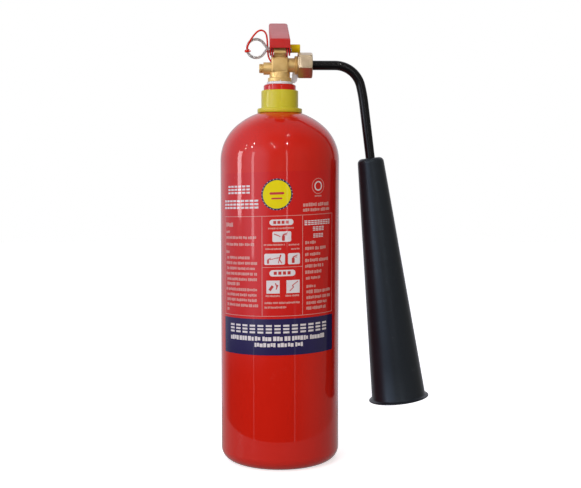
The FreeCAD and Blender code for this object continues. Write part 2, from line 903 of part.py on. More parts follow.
def build():
    os.makedirs("parts", exist_ok=True)
    pieces = {
        "cylinder_shell": cylinder_shell(),
        "label": label(),
        "neck_collar": neck_collar(),
        "thread_tape": thread_tape(),
        "valve_body": valve_body(),
        "gland_nut": gland_nut(),
        "stem_oring": stem_oring(),
        "spring_retainer": spring_retainer(),
        "dip_tube": dip_tube(),
        "valve_spring": valve_spring(),
        "poppet": poppet(),
        "poppet_seal": poppet_seal(),
        "push_rod": push_rod(),
        "relief_cap": relief_cap(),
        "burst_disc": burst_disc(),
        "relief_gasket": relief_gasket(),
        "outlet_gasket": outlet_gasket(),
        "union_nut": union_nut(),
        "squeeze_lever": squeeze_lever(),
        "carry_handle": carry_handle(),
        "handle_rivet": handle_rivet(),
        "pivot_pin": pivot_pin(),
        "pivot_clip": pivot_clip(),
        "safety_pin": safety_pin(),
        "pin_cap": pin_cap(),
        "seal_thread": seal_thread(),
        "ring_knot": ring_knot(),
        "tail_knot": tail_knot(),
        "tube_ferrule": tube_ferrule(),
        "discharge_tube": discharge_tube(),
        "horn_shell": horn_shell(),
        "horn_washer": horn_washer(),
        "horn_locknut": horn_locknut(),
        "nozzle_tip": nozzle_tip(),
    }
    for name, shape in pieces.items():
        volume = round(shape.Volume, 1)
        print(name, "solids", len(shape.Solids), "valid", shape.isValid(), "volume", volume)
        save(name, shape)


build()
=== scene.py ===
import bmesh
import bpy
import json
import math
import random
from mathutils import Matrix, Vector


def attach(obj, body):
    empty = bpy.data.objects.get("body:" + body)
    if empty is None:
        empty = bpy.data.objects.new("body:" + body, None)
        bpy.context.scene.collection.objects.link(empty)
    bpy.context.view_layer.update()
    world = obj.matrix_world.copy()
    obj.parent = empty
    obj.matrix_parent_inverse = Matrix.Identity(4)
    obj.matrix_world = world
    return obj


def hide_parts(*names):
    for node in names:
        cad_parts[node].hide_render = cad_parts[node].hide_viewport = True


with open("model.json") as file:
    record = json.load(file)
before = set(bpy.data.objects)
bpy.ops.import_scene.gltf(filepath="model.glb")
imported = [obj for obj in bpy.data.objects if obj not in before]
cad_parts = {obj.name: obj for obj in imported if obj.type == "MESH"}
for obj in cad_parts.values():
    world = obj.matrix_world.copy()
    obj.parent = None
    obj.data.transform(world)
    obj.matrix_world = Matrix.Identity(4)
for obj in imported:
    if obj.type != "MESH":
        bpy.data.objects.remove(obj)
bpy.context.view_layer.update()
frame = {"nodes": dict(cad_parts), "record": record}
scene = bpy.context.scene
millimetre = 0.001
print("frame loaded,", len(frame["nodes"]), "nodes")


def addObject(name, data):
    thing = bpy.data.objects.new(name, data)
    scene.collection.objects.link(thing)
    return thing


# Camera
viewpoint = {
    "place": (-0.024, -1.139, 0.3177),
    "lookDown": 3.72,   # degrees below level
    "turnRight": 1.812,
    "lens": 62.6,
    "sensor": 36.0,
}


def placeCamera():
    camera = bpy.data.cameras.new("studio_camera")
    camera.lens = viewpoint["lens"]
    camera.sensor_width = viewpoint["sensor"]
    camera.sensor_fit = "HORIZONTAL"
    camera.clip_start = 0.01
    rig = addObject("studio_camera", camera)
    rig.location = viewpoint["place"]
    rig.rotation_euler = (math.radians(90 - viewpoint["lookDown"]), 0, -math.radians(viewpoint["turnRight"]))
    scene.camera = rig


placeCamera()


# Seal thread, tied to the pull ring, over the lever's side and down behind the valve
sealThread = {
    "radius": 1.0,   # millimetres
    "pointRadius": 0.001,   # keeps the curve's box as small as the thread
    "length": 0.0848,
    "route": [
        (-0.0368, 0.0102, 0.4627),
        (-0.0360, 0.0098, 0.4670),
        (-0.0330, 0.0097, 0.4723),
        (-0.0288, 0.0102, 0.4783),
        (-0.0247, 0.0107, 0.4827),
        (-0.0206, 0.0111, 0.4842),
        (-0.0169, 0.0116, 0.4828),
        (-0.0146, 0.0123, 0.4793),
        (-0.0138, 0.0132, 0.4736),
        (-0.0134, 0.0144, 0.4670),
        (-0.0132, 0.0156, 0.4604),
        (-0.0124, 0.0164, 0.4546),
        (-0.0098, 0.0162, 0.4498),
        (-0.0054, 0.0154, 0.4463),
        (0.0008, 0.0146, 0.4450),
        (0.0070, 0.0148, 0.4466),
    ],
}


def drawCurve(name, places, thickness, smoothness):
    curve = bpy.data.curves.new(name, "CURVE")
    curve.dimensions = "3D"
    curve.bevel_depth = thickness
    curve.bevel_resolution = smoothness
    spline = curve.splines.new("NURBS")
    spline.points.add(len(places) - 1)
    for point, place in zip(spline.points, places):
        point.co = (*place, 1)
    spline.order_u = 3
    return curve, spline


def layThread():
    curve, spline = drawCurve("seal_thread_cord", sealThread["route"], sealThread["radius"], 5)
    for point in spline.points:
        point.radius = sealThread["pointRadius"]
    spline.use_endpoint_u = True
    curve.resolution_u = 12
    curve.use_fill_caps = True
    thread = addObject("seal_thread_cord", curve)
    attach(thread, "pull_pin")
    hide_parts("seal_thread")
    return thread


threadPiece = layThread()
print("camera and seal thread placed")


# Shader node groups
def addNode(tree, kind, values=None, **settings):
    node = tree.nodes.new(kind)
    for name, setting in settings.items():
        setattr(node, name, setting)
    for name, value in (values or {}).items():
        node.inputs[name].default_value = value
    return node


def wire(tree, *joins):
    # each join is (node, its output, next node, its input)
    for source, output, target, entry in joins:
        tree.links.new(source.outputs[output], target.inputs[entry])


def newGroup(name, inputs, output):
    tree = bpy.data.node_groups.new(name, "ShaderNodeTree")
    for label, value in inputs.items():
        socket = tree.interface.new_socket(name=label, in_out="INPUT", socket_type="NodeSocketFloat")
        socket.default_value = value
    tree.interface.new_socket(name=output, in_out="OUTPUT", socket_type="NodeSocketFloat")
    return tree, addNode(tree, "NodeGroupInput"), addNode(tree, "NodeGroupOutput")


def buildMottle():
    # soft cloudy variation with a finer cloud over it
    tree, entry, leave = newGroup("cloudy_mottle", {"Scale": 30.0, "Contrast": 1.0}, "Mask")
    place = addNode(tree, "ShaderNodeTexCoord")
    broad = addNode(tree, "ShaderNodeTexNoise", {"Detail": 3.0, "Roughness": 0.55})
    fine = addNode(tree, "ShaderNodeTexNoise", {"Detail": 2.0, "Roughness": 0.6})
    faster = addNode(tree, "ShaderNodeMath", {1: 5.3}, operation="MULTIPLY")
    both = addNode(tree, "ShaderNodeMath", {1: 0.4}, operation="MULTIPLY_ADD")
    centred = addNode(tree, "ShaderNodeMath", {1: 0.7}, operation="SUBTRACT")
    spread = addNode(tree, "ShaderNodeMath", operation="MULTIPLY")
    lifted = addNode(tree, "ShaderNodeMath", {1: 0.5}, operation="ADD", use_clamp=True)
    wire(tree, (place, "Object", broad, "Vector"), (place, "Object", fine, "Vector"),
         (entry, "Scale", broad, "Scale"), (entry, "Scale", faster, 0), (faster, 0, fine, "Scale"),
         (fine, "Fac", both, 0), (broad, "Fac", both, 2), (both, 0, centred, 0), (centred, 0, spread, 0),
         (entry, "Contrast", spread, 1), (spread, 0, lifted, 0), (lifted, 0, leave, "Mask"))
    return tree


def buildGrain():
    # height of a moulded, cast or sprayed surface: fine grain on slow waves
    inputs = {"Grain Scale": 900.0, "Wave Scale": 40.0, "Wave Share": 0.5}
    tree, entry, leave = newGroup("surface_grain", inputs, "Height")
    place = addNode(tree, "ShaderNodeTexCoord")
    grain = addNode(tree, "ShaderNodeTexNoise", {"Detail": 3.0, "Roughness": 0.6})
    wave = addNode(tree, "ShaderNodeTexNoise", {"Detail": 1.0, "Roughness": 0.4})
    mix = addNode(tree, "ShaderNodeMix", data_type="FLOAT")
    wire(tree, (place, "Object", grain, "Vector"), (place, "Object", wave, "Vector"),
         (entry, "Grain Scale", grain, "Scale"), (entry, "Wave Scale", wave, "Scale"),
         (entry, "Wave Share", mix, "Factor"), (grain, "Fac", mix, "A"), (wave, "Fac", mix, "B"),
         (mix, "Result", leave, "Height"))
    return tree


def buildMarks():
    # sparse rubbed spots and short scratches
    tree, entry, leave = newGroup("handling_marks", {"Scale": 60.0, "Amount": 0.3}, "Mask")
    place = addNode(tree, "ShaderNodeTexCoord")
    spots = addNode(tree, "ShaderNodeTexNoise", {"Detail": 6.0, "Roughness": 0.75})
    stretch = addNode(tree, "ShaderNodeMapping", {"Rotation": (0.5, 0.3, 0.9), "Scale": (1.0, 22.0, 1.0)})
    strokes = addNode(tree, "ShaderNodeTexNoise", {"Detail": 3.0, "Roughness": 0.7})
    spotEdge = addNode(tree, "ShaderNodeMapRange", {"From Min": 0.62, "From Max": 0.74})
    strokeEdge = addNode(tree, "ShaderNodeMapRange", {"From Min": 0.68, "From Max": 0.76})
    joined = addNode(tree, "ShaderNodeMath", operation="MAXIMUM")
    scaled = addNode(tree, "ShaderNodeMath", operation="MULTIPLY")
    wire(tree, (place, "Object", spots, "Vector"), (place, "Object", stretch, "Vector"),
         (stretch, "Vector", strokes, "Vector"), (entry, "Scale", spots, "Scale"),
         (entry, "Scale", strokes, "Scale"), (spots, "Fac", spotEdge, "Value"),
         (strokes, "Fac", strokeEdge, "Value"), (spotEdge, "Result", joined, 0),
         (strokeEdge, "Result", joined, 1), (joined, 0, scaled, 0), (entry, "Amount", scaled, 1),
         (scaled, 0, leave, "Mask"))
    return tree


groups = {"mottle": buildMottle(), "grain": buildGrain(), "marks": buildMarks()}


# What a finish has unless its own entry says otherwise
commonLook = {
    "metal": 0.0, "coat": 0.0, "coatRough": 0.1, "grain": (2600.0, 300.0, 0.3), "relief": 0.00004,
    "strength": 0.4, "specular": 0.5,
}
# Finishes: base and second colour, how they mix, gloss, and surface relief
finishSettings = {
    "red_paint": {
        "colour": (0.62, 0.013, 0.004), "second": (0.56, 0.010, 0.003), "mottle": (9.0, 0.8),
        "rough": (0.20, 0.28), "coat": 0.8, "coatRough": 0.035, "marks": (38.0, 0.12),
        "markColour": (0.60, 0.06, 0.05), "grain": (420.0, 34.0, 0.80), "relief": 0.00020, "strength": 0.35,
        "specular": 0.05,
    },
    "label_film": {
        "colour": (0.60, 0.009, 0.006), "second": (0.54, 0.007, 0.005), "mottle": (14.0, 0.7),
        "rough": (0.22, 0.30), "coat": 0.75, "coatRough": 0.05, "marks": (70.0, 0.10),
        "markColour": (0.62, 0.07, 0.06), "grain": (500.0, 38.0, 0.80), "relief": 0.00018, "strength": 0.35,
        "specular": 0.05,
    },
    "collar_plastic": {
        "colour": (0.64, 0.57, 0.040), "second": (0.56, 0.47, 0.012), "mottle": (22.0, 1.2),
        "rough": (0.26, 0.36), "coat": 0.25, "coatRough": 0.12, "marks": (90.0, 0.15),
        "markColour": (0.85, 0.80, 0.40), "grain": (1400.0, 70.0, 0.55), "relief": 0.00005,
        "subsurface": 0.25, "subsurfaceRadius": (0.004, 0.0035, 0.001), "specular": 0.25,
    },
    "cap_yellow": {
        "colour": (0.82, 0.60, 0.003), "second": (0.70, 0.47, 0.002), "mottle": (60.0, 1.1),
        "rough": (0.32, 0.42), "coat": 0.05, "coatRough": 0.15, "marks": (120.0, 0.12),
        "markColour": (0.85, 0.62, 0.10), "grain": (1800.0, 160.0, 0.4),
        "subsurface": 0.2, "subsurfaceRadius": (0.002, 0.0012, 0.0003), "specular": 0.1,
    },
    "tape_white": {
        "colour": (0.86, 0.86, 0.88), "second": (0.68, 0.68, 0.70), "mottle": (260.0, 1.3),
        "rough": (0.42, 0.6), "marks": (400.0, 0.3),
        "markColour": (0.58, 0.58, 0.60), "grain": (1500.0, 420.0, 0.6), "relief": 0.00025, "strength": 0.8,
        "subsurface": 0.3, "subsurfaceRadius": (0.001, 0.001, 0.001),
    },
    "valve_brass": {
        "colour": (0.88, 0.62, 0.26), "second": (0.76, 0.49, 0.16), "mottle": (160.0, 1.6), "metal": 0.6,
        "rough": (0.34, 0.46), "marks": (210.0, 0.35),
        "markColour": (0.42, 0.26, 0.10), "grain": (2600.0, 330.0, 0.45), "relief": 0.00010, "strength": 0.5,
    },
    "nut_brass": {
        "colour": (0.70, 0.57, 0.40), "second": (0.58, 0.45, 0.30), "mottle": (140.0, 1.5), "metal": 0.9,
        "rough": (0.26, 0.38), "marks": (260.0, 0.35),
        "markColour": (0.45, 0.34, 0.20), "grain": (2400.0, 300.0, 0.4), "relief": 0.00006,
    },
    "stainless_steel": {
        "colour": (0.62, 0.61, 0.60), "second": (0.50, 0.49, 0.48), "mottle": (150.0, 1.2), "metal": 1.0,
        "rough": (0.22, 0.34), "marks": (300.0, 0.3), "markColour": (0.36, 0.35, 0.34),
    },
    "spring_steel": {
        "colour": (0.30, 0.30, 0.31), "second": (0.20, 0.20, 0.21), "mottle": (220.0, 1.3), "metal": 1.0,
        "rough": (0.25, 0.4), "marks": (300.0, 0.3), "markColour": (0.12, 0.12, 0.12),
    },
    "zinc_steel": {
        "colour": (0.56, 0.55, 0.50), "second": (0.42, 0.41, 0.38), "mottle": (260.0, 1.5), "metal": 0.85,
        "rough": (0.28, 0.45), "marks": (300.0, 0.4),
        "markColour": (0.28, 0.25, 0.20), "grain": (2600.0, 300.0, 0.4), "relief": 0.00005, "strength": 0.5,
    },
    "pull_wire": {
        "colour": (0.80, 0.76, 0.74), "second": (0.64, 0.60, 0.58), "mottle": (320.0, 1.0), "metal": 0.85,
        "rough": (0.30, 0.42), "marks": (500.0, 0.2),
        "markColour": (0.25, 0.22, 0.20), "grain": (3200.0, 500.0, 0.4),
    },
    "seal_rubber": {
        "colour": (0.012, 0.012, 0.012), "second": (0.02, 0.02, 0.02), "mottle": (200.0, 1.0),
        "rough": (0.5, 0.65), "marks": (300.0, 0.2), "markColour": (0.05, 0.05, 0.05),
    },
    "nylon": {
        "colour": (0.72, 0.70, 0.62), "second": (0.62, 0.60, 0.52), "mottle": (180.0, 1.0),
        "rough": (0.4, 0.5), "marks": (300.0, 0.1), "markColour": (0.5, 0.48, 0.4), "strength": 0.3,
    },
    "tube_aluminium": {
        "colour": (0.66, 0.67, 0.68), "second": (0.55, 0.56, 0.57), "mottle": (90.0, 1.2), "metal": 1.0,
        "rough": (0.3, 0.42), "marks": (160.0, 0.3),
        "markColour": (0.4, 0.4, 0.41), "grain": (2000.0, 200.0, 0.3),
    },
    "grip_paint": {
        "colour": (0.56, 0.016, 0.014), "second": (0.48, 0.012, 0.011), "mottle": (60.0, 1.1),
        "rough": (0.30, 0.42), "coat": 0.2, "coatRough": 0.22, "marks": (120.0, 0.22),
        "markColour": (0.60, 0.13, 0.11), "grain": (1100.0, 90.0, 0.55), "relief": 0.00011, "strength": 0.5,
        "specular": 0.25,
    },
    "thread_red": {
        "colour": (0.74, 0.030, 0.010), "second": (0.62, 0.018, 0.006), "mottle": (500.0, 1.4),
        "rough": (0.34, 0.5), "coat": 0.1, "coatRough": 0.2, "marks": (600.0, 0.15),
        "markColour": (0.80, 0.25, 0.18), "grain": (4200.0, 900.0, 0.5), "relief": 0.00008, "strength": 0.7,
        "specular": 0.15,
    },
    "tube_black": {
        "colour": (0.0035, 0.0035, 0.0045), "second": (0.0055, 0.0055, 0.0065), "mottle": (70.0, 1.0),
        "rough": (0.20, 0.30), "coat": 0.3, "coatRough": 0.06, "marks": (150.0, 0.12),
        "markColour": (0.035, 0.035, 0.036), "grain": (900.0, 60.0, 0.7), "relief": 0.00012,
        "specular": 0.15,
    },
    "horn_plastic": {
        "colour": (0.0090, 0.0105, 0.0140), "second": (0.0120, 0.0140, 0.0185), "mottle": (24.0, 1.2),
        "rough": (0.30, 0.40), "marks": (130.0, 0.30),
        "markColour": (0.060, 0.062, 0.068), "grain": (1500.0, 60.0, 0.45), "relief": 0.00009,
        "strength": 0.5, "specular": 0.48, "tint": (0.72, 0.88, 1.0),
    },
    "print_white": {
        "colour": (0.74, 0.70, 0.71), "second": (0.66, 0.60, 0.61), "mottle": (160.0, 1.2),
        "rough": (0.24, 0.32), "coat": 0.5, "coatRough": 0.06, "marks": (260.0, 0.2),
        "markColour": (0.60, 0.40, 0.40), "grain": (700.0, 60.0, 0.7), "relief": 0.00008, "strength": 0.3,
        "specular": 0.1,
    },
    "print_pale": {
        "colour": (0.66, 0.34, 0.31), "second": (0.58, 0.24, 0.21), "mottle": (260.0, 1.4),
        "rough": (0.24, 0.32), "coat": 0.5, "coatRough": 0.06, "marks": (300.0, 0.2),
        "markColour": (0.52, 0.10, 0.09), "grain": (700.0, 60.0, 0.7), "relief": 0.00008, "strength": 0.3,
        "specular": 0.1,
    },
    "print_navy": {
        "colour": (0.016, 0.012, 0.066), "second": (0.022, 0.016, 0.078), "mottle": (18.0, 1.0),
        "rough": (0.22, 0.30), "coat": 0.75, "coatRough": 0.05, "marks": (90.0, 0.2),
        "markColour": (0.030, 0.026, 0.095), "grain": (500.0, 38.0, 0.8), "relief": 0.00018, "strength": 0.35,
        "specular": 0.05,
    },
    "print_yellow": {
        "colour": (0.78, 0.66, 0.004), "second": (0.70, 0.57, 0.004), "mottle": (60.0, 1.0),
        "rough": (0.22, 0.30), "coat": 0.25, "coatRough": 0.05, "marks": (150.0, 0.2),
        "markColour": (0.70, 0.50, 0.02), "grain": (500.0, 38.0, 0.8), "relief": 0.00015, "strength": 0.3,
        "specular": 0.05,
    },
    "print_red": {
        "colour": (0.52, 0.016, 0.014), "second": (0.46, 0.012, 0.012), "mottle": (160.0, 1.0),
        "rough": (0.24, 0.32), "coat": 0.8, "coatRough": 0.05, "marks": (300.0, 0.15),
        "markColour": (0.60, 0.08, 0.07), "grain": (700.0, 60.0, 0.7), "relief": 0.00008, "strength": 0.3,
    },
}


def mixColours(tree, factor, first, second):
    mix = addNode(tree, "ShaderNodeMix", data_type="RGBA")
    tree.links.new(factor, mix.inputs["Factor"])
    for socket, value in (("A", first), ("B", second)):
        target = [entry for entry in mix.inputs if entry.name == socket and entry.type == "RGBA"][0]
        if isinstance(value, tuple):
            target.default_value = (*value, 1)
        else:
            tree.links.new(value, target)
    return [out for out in mix.outputs if out.type == "RGBA"][0]


def makeFinish(name):
    look = {**commonLook, **finishSettings[name]}
    material = bpy.data.materials.new(name)
    material.use_nodes = True
    tree = material.node_tree
    shader = tree.nodes["Principled BSDF"]
    groupInputs = {
        "mottle": dict(zip(("Scale", "Contrast"), look["mottle"])),
        "marks": dict(zip(("Scale", "Amount"), look["marks"])),
        "grain": dict(zip(("Grain Scale", "Wave Scale", "Wave Share"), look["grain"])),
    }
    mottle, marks, grain = (
        addNode(tree, "ShaderNodeGroup", values, node_tree=groups[group])
        for group, values in groupInputs.items())
    ground = mixColours(tree, mottle.outputs["Mask"], look["colour"], look["second"])
    marked = mixColours(tree, marks.outputs["Mask"], ground, look["markColour"])
    tree.links.new(marked, shader.inputs["Base Color"])
    gloss = addNode(tree, "ShaderNodeMapRange", {"To Min": look["rough"][0], "To Max": look["rough"][1]})
    duller = addNode(tree, "ShaderNodeMath", {1: 0.5}, operation="MULTIPLY_ADD", use_clamp=True)
    bump = addNode(tree, "ShaderNodeBump", {"Strength": look["strength"], "Distance": look["relief"]})
    wire(tree, (mottle, "Mask", gloss, "Value"), (marks, "Mask", duller, 0), (gloss, "Result", duller, 2),
         (duller, 0, shader, "Roughness"), (grain, "Height", bump, "Height"),
         (bump, "Normal", shader, "Normal"))
    values = {"Metallic": "metal", "Coat Weight": "coat", "Coat Roughness": "coatRough",
              "Specular IOR Level": "specular", "Subsurface Weight": "subsurface",
              "Subsurface Radius": "subsurfaceRadius"}
    for socket, key in values.items():
        if key in look:
            shader.inputs[socket].default_value = look[key]
    if "tint" in look:
        shader.inputs["Specular Tint"].default_value = (*look["tint"], 1)
    if "subsurface" in look:
        shader.inputs["Subsurface Scale"].default_value = 1.0
    return material


finishes = {name: makeFinish(name) for name in finishSettings}
print("finishes made:", len(finishes))


# Modelling helpers; shapes are drawn in millimetres
mergeGap = 1e-4
upright = Matrix.Rotation(math.pi / 2, 4, "X")


def makePiece(name, shape, body, finish, replaced=(), sharpAngle=35, recalculate=False):
    if recalculate:
        bmesh.ops.recalc_face_normals(shape, faces=shape.faces)
    for face in shape.faces:
        face.smooth = True
    for edge in shape.edges:
        edge.smooth = edge.calc_face_angle(0) < math.radians(sharpAngle)
    mesh = bpy.data.meshes.new(name)
    shape.to_mesh(mesh)
    shape.free()
    piece = addObject(name, mesh)
    mesh.materials.append(finishes[finish])
    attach(piece, body)
    if replaced:
        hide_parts(*replaced)
    return piece


def toMetres(shape):
    bmesh.ops.scale(shape, vec=(millimetre, millimetre, millimetre), verts=shape.verts)


def easeEdges(shape, geom, offset, segments, affect="EDGES"):
    bmesh.ops.bevel(
        shape, geom=geom, offset=offset, offset_type="OFFSET", affect=affect, segments=segments,
        profile=0.5, clamp_overlap=True, material=-1)


def onlyVerts(entries):
    return [entry for entry in entries if isinstance(entry, bmesh.types.BMVert)]


def onlyEdges(entries):
    return [entry for entry in entries if isinstance(entry, bmesh.types.BMEdge)]


def linkedEdges(verts):
    return list(dict.fromkeys(edge for vert in verts for edge in vert.link_edges))


def drawProfile(shape, start, strokes):
    # strokes are ("to", (radius, height), ...) or ("arc", centre, degrees, steps); a positive arc turns left
    first = shape.verts.new((start[0], 0, start[1]))
    tip = first
    for stroke in strokes:
        if stroke[0] == "to":
            for radius, height in stroke[1:]:
                tip = bmesh.ops.extrude_vert_indiv(shape, verts=[tip])["verts"][0]
                tip.co = (radius, 0, height)
        else:
            centre, degrees, steps = stroke[1:]
            made = bmesh.ops.spin(
                shape, geom=[tip], cent=(centre[0], 0, centre[1]), axis=(0, -1, 0),
                angle=math.radians(degrees), steps=steps)
            tip = onlyVerts(made["geom_last"])[0]
    return first, tip


def turnProfile(start, strokes, steps):
    shape = bmesh.new()
    first, last = drawProfile(shape, start, strokes)
    if (first.co - last.co).length > mergeGap:
        shape.edges.new((last, first))
    bmesh.ops.remove_doubles(shape, verts=shape.verts, dist=mergeGap)
    bmesh.ops.spin(
        shape, geom=shape.verts[:] + shape.edges[:], cent=(0, 0, 0), axis=(0, 0, 1),
        angle=math.tau, steps=steps, use_merge=True)
    bmesh.ops.remove_doubles(shape, verts=shape.verts, dist=mergeGap)
    bmesh.ops.recalc_face_normals(shape, faces=shape.faces)
    return shape


def softCopy(node, width, angle):
    # the node's own shape with its sharp edges eased
    shape = bmesh.new()
    shape.from_mesh(frame["nodes"][node].data)
    bmesh.ops.remove_doubles(shape, verts=shape.verts, dist=easing["merge"])
    bmesh.ops.dissolve_limit(
        shape, angle_limit=math.radians(easing["flat"]), verts=shape.verts, edges=shape.edges,
        delimit={"NORMAL"})
    edges = [edge for edge in shape.edges if edge.calc_face_angle(0) > math.radians(angle)]
    if width and edges:
        easeEdges(shape, edges, width * millimetre, easing["segments"])
    return shape


def bendTube(shape, radius, start, heading, moves, sides):
    # a round tube led through straight runs and bends in the XZ plane; heading counts up from +X
    place = Vector(start)
    angle = math.radians(heading)
    facing = Matrix.Rotation(-angle, 4, "Y") @ Matrix.Rotation(math.pi / 2, 4, "Y")
    circle = bmesh.ops.create_circle(
        shape, cap_ends=False, radius=radius, segments=sides, matrix=Matrix.Translation(place) @ facing)
    firstRing = ringEdges = linkedEdges(circle["verts"])
    for move in moves:
        if move[0] == "run":
            step = Vector((math.cos(angle), 0, math.sin(angle))) * move[1]
            made = bmesh.ops.extrude_edge_only(shape, edges=ringEdges)["geom"]
            verts = onlyVerts(made)
            ringEdges = [edge for edge in onlyEdges(made) if all(vert in verts for vert in edge.verts)]
            bmesh.ops.translate(shape, verts=verts, vec=step)
            place = place + step
        else:
            bend, degrees, steps = move[1:]
            side = 1 if degrees > 0 else -1
            left = Vector((-math.sin(angle), 0, math.cos(angle)))
            centre = place + left * bend * side
            made = bmesh.ops.spin(
                shape, geom=ringEdges, cent=centre, axis=(0, -side, 0),
                angle=math.radians(abs(degrees)), steps=steps)
            ringEdges = onlyEdges(made["geom_last"])
            turn = Matrix.Rotation(math.radians(abs(degrees)), 3, Vector((0, -side, 0)))
            place = centre + turn @ (place - centre)
            angle += math.radians(degrees)
    return firstRing, ringEdges


def capRing(shape, ring):
    bmesh.ops.holes_fill(shape, edges=ring, sides=0)


# Cylinder
cylinder = {
    "radius": 66.5, "wall": 4.0, "footCorner": 14.0, "footRing": 49.0, "dishRise": 12.0,
    "shoulder": 337.0, "domeRise": 57.5, "knuckle": 52.0, "neck": 18.0, "neckTop": 422.0,
    "neckBore": 12.6, "neckEdge": 2.0, "steps": 224,
}


def domeFit(inset):
    side = cylinder["radius"] - cylinder["knuckle"]
    drop = cylinder["domeRise"] - cylinder["knuckle"]
    lift = (side ** 2 - drop ** 2) / (2 * drop)
    centre = (0, cylinder["shoulder"] - lift)
    radius = cylinder["domeRise"] + lift - inset
    return (side, cylinder["shoulder"]), centre, radius, math.degrees(math.atan2(lift, side))


def makeCylinder():
    c = cylinder
    foot = c["radius"] - c["footCorner"]
    dish = (c["footRing"] ** 2 + c["dishRise"] ** 2) / (2 * c["dishRise"])
    dishCentre = c["dishRise"] - dish
    dishTurn = math.degrees(math.asin(c["footRing"] / dish))
    knuckleCentre, crownCentre, crown, joint = domeFit(0)
    neckTurn = math.degrees(math.acos(c["neck"] / crown)) - joint
    inside = c["radius"] - c["wall"]
    innerCrown = crown - c["wall"]
    boreTurn = math.degrees(math.acos(c["neckBore"] / innerCrown)) - joint
    innerDish = dish + c["wall"]
    innerTurn = math.degrees(math.asin((c["wall"] - dishCentre) / innerDish)) - 90
    edge = c["neckEdge"]
    strokes = [
        ("arc", (0, dishCentre), -dishTurn, 16),
        ("to", (foot, 0)),
        ("arc", (foot, c["footCorner"]), 90, 14),
        ("to", (c["radius"], 100), (c["radius"], 220), (c["radius"], c["shoulder"])),
        ("arc", knuckleCentre, joint, 24),
        ("arc", crownCentre, neckTurn, 16),
        ("to", (c["neck"], c["neckTop"] - edge)),
        ("arc", (c["neck"] - edge, c["neckTop"] - edge), 90, 6),
        ("to", (c["neckBore"] + edge, c["neckTop"]), (c["neckBore"], c["neckTop"] - edge)),
        ("to", (c["neckBore"], crownCentre[1] + math.sqrt(innerCrown ** 2 - c["neckBore"] ** 2))),
        ("arc", crownCentre, -boreTurn, 12),
        ("arc", knuckleCentre, -joint, 16),
        ("to", (inside, c["footCorner"])),
        ("arc", (foot, c["footCorner"]), -90, 8),
        ("to", (innerDish * math.cos(math.radians(90 + innerTurn)), c["wall"])),
        ("arc", (0, dishCentre), -innerTurn, 12),
    ]
    shape = turnProfile((0, c["dishRise"]), strokes, c["steps"])
    toMetres(shape)
    makePiece("cylinder_painted_shell", shape, "root", "red_paint", replaced=("cylinder_shell",))


makeCylinder()


# Neck collar
collar = {
    "bottom": 390.6, "flangeTop": 395.4, "top": 415.5, "flange": 25.0, "radius": 20.65, "bore": 18.1,
    "round": 0.9, "lip": 1.3, "steps": 160,
}


def makeCollar():
    c = collar
    crownCentre, crown = domeFit(0)[1:3]
    seat = crownCentre[1] + math.sqrt(crown ** 2 - cylinder["neck"] ** 2) + 0.15
    soft = c["round"]
    strokes = [
        ("to", (c["flange"] - 0.3, c["bottom"] + 0.05), (c["flange"], c["bottom"] + 0.5)),
        ("to", (c["flange"], c["flangeTop"] - soft)),
        ("arc", (c["flange"] - soft, c["flangeTop"] - soft), 90, 6),
        ("to", (c["radius"] + soft, c["flangeTop"])),
        ("arc", (c["radius"] + soft, c["flangeTop"] + soft), -90, 6),
        ("to", (c["radius"], c["top"] - c["lip"])),
        ("arc", (c["radius"] - c["lip"], c["top"] - c["lip"]), 90, 8),
        ("to", (c["bore"], c["top"])),
    ]
    shape = turnProfile((c["bore"], seat), strokes, c["steps"])
    toMetres(shape)
    makePiece("collar_moulded_ring", shape, "root", "collar_plastic", replaced=("neck_collar",))


makeCollar()
print("cylinder and collar made")


# Label film and its prints, drawn flat as (distance round the front, height) and wrapped on
label = {
    "left": -77.3, "right": 68.9, "bottom": 127.9, "top": 325.1, "tilt": 0.021, "tiltRise": 0.000062,
    "radius": 66.51, "film": 0.06, "ink": 0.03, "corner": 2.0, "slice": 2.5, "seed": 41,
    # how far prints sink into what they lie on, and how much thicker two of them are
    "sink": 0.005, "whiteExtra": 0.012, "paleExtra": 0.008,
    "emblem": (-4.5, 300.8), "dots": 28, "dotCircle": 16.35, "dot": 0.42,
    "signs": [
        # left, right, bottom, height, how many, share of the pitch that is printed
        (-67.8, -33.4, 302.6, 8.8, 6, 0.76), (-76.0, -23.5, 286.4, 9.4, 9, 0.78),
        (25.6, 62.5, 266.9, 5.0, 9, 0.8), (36.0, 52.0, 260.5, 4.4, 4, 0.8), (36.5, 51.0, 253.1, 4.2, 4, 0.8),
    ],
    "panels": [
        # left, bottom, right, top, corner
        (-12.5, 267.9, 13.2, 274.2, 3.1), (-12.6, 213.4, 15.4, 220.2, 3.3), (-9.3, 250.2, 10.7, 261.3, 1.6),
        (-18.2, 225.9, 4.1, 237.8, 1.6), (7.2, 225.9, 20.4, 237.8, 1.6), (-15.9, 195.1, -1.6, 209.0, 0.0),
        (5.6, 195.1, 20.1, 209.0, 0.0),
    ],
}


def addPatch(shape, left, bottom, right, top, corner=0.0, steps=4):
    middle = Vector(((left + right) / 2, 0, (bottom + top) / 2))
    matrix = Matrix.Translation(middle) @ upright @ Matrix.Diagonal((right - left, top - bottom, 1, 1))
    made = bmesh.ops.create_grid(shape, x_segments=1, y_segments=1, size=0.5, matrix=matrix)
    if corner:
        easeEdges(shape, made["verts"], corner, steps, "VERTICES")


def addDisc(shape, centre, radius, hole=0.0, sides=56):
    matrix = Matrix.Translation((centre[0], 0, centre[1])) @ upright
    made = bmesh.ops.create_circle(shape, cap_ends=True, radius=radius, segments=sides, matrix=matrix)
    if hole:
        face = made["verts"][0].link_faces[0]
        bmesh.ops.inset_individual(shape, faces=[face], thickness=radius - hole, use_even_offset=True)
        bmesh.ops.delete(shape, geom=[face], context="FACES")


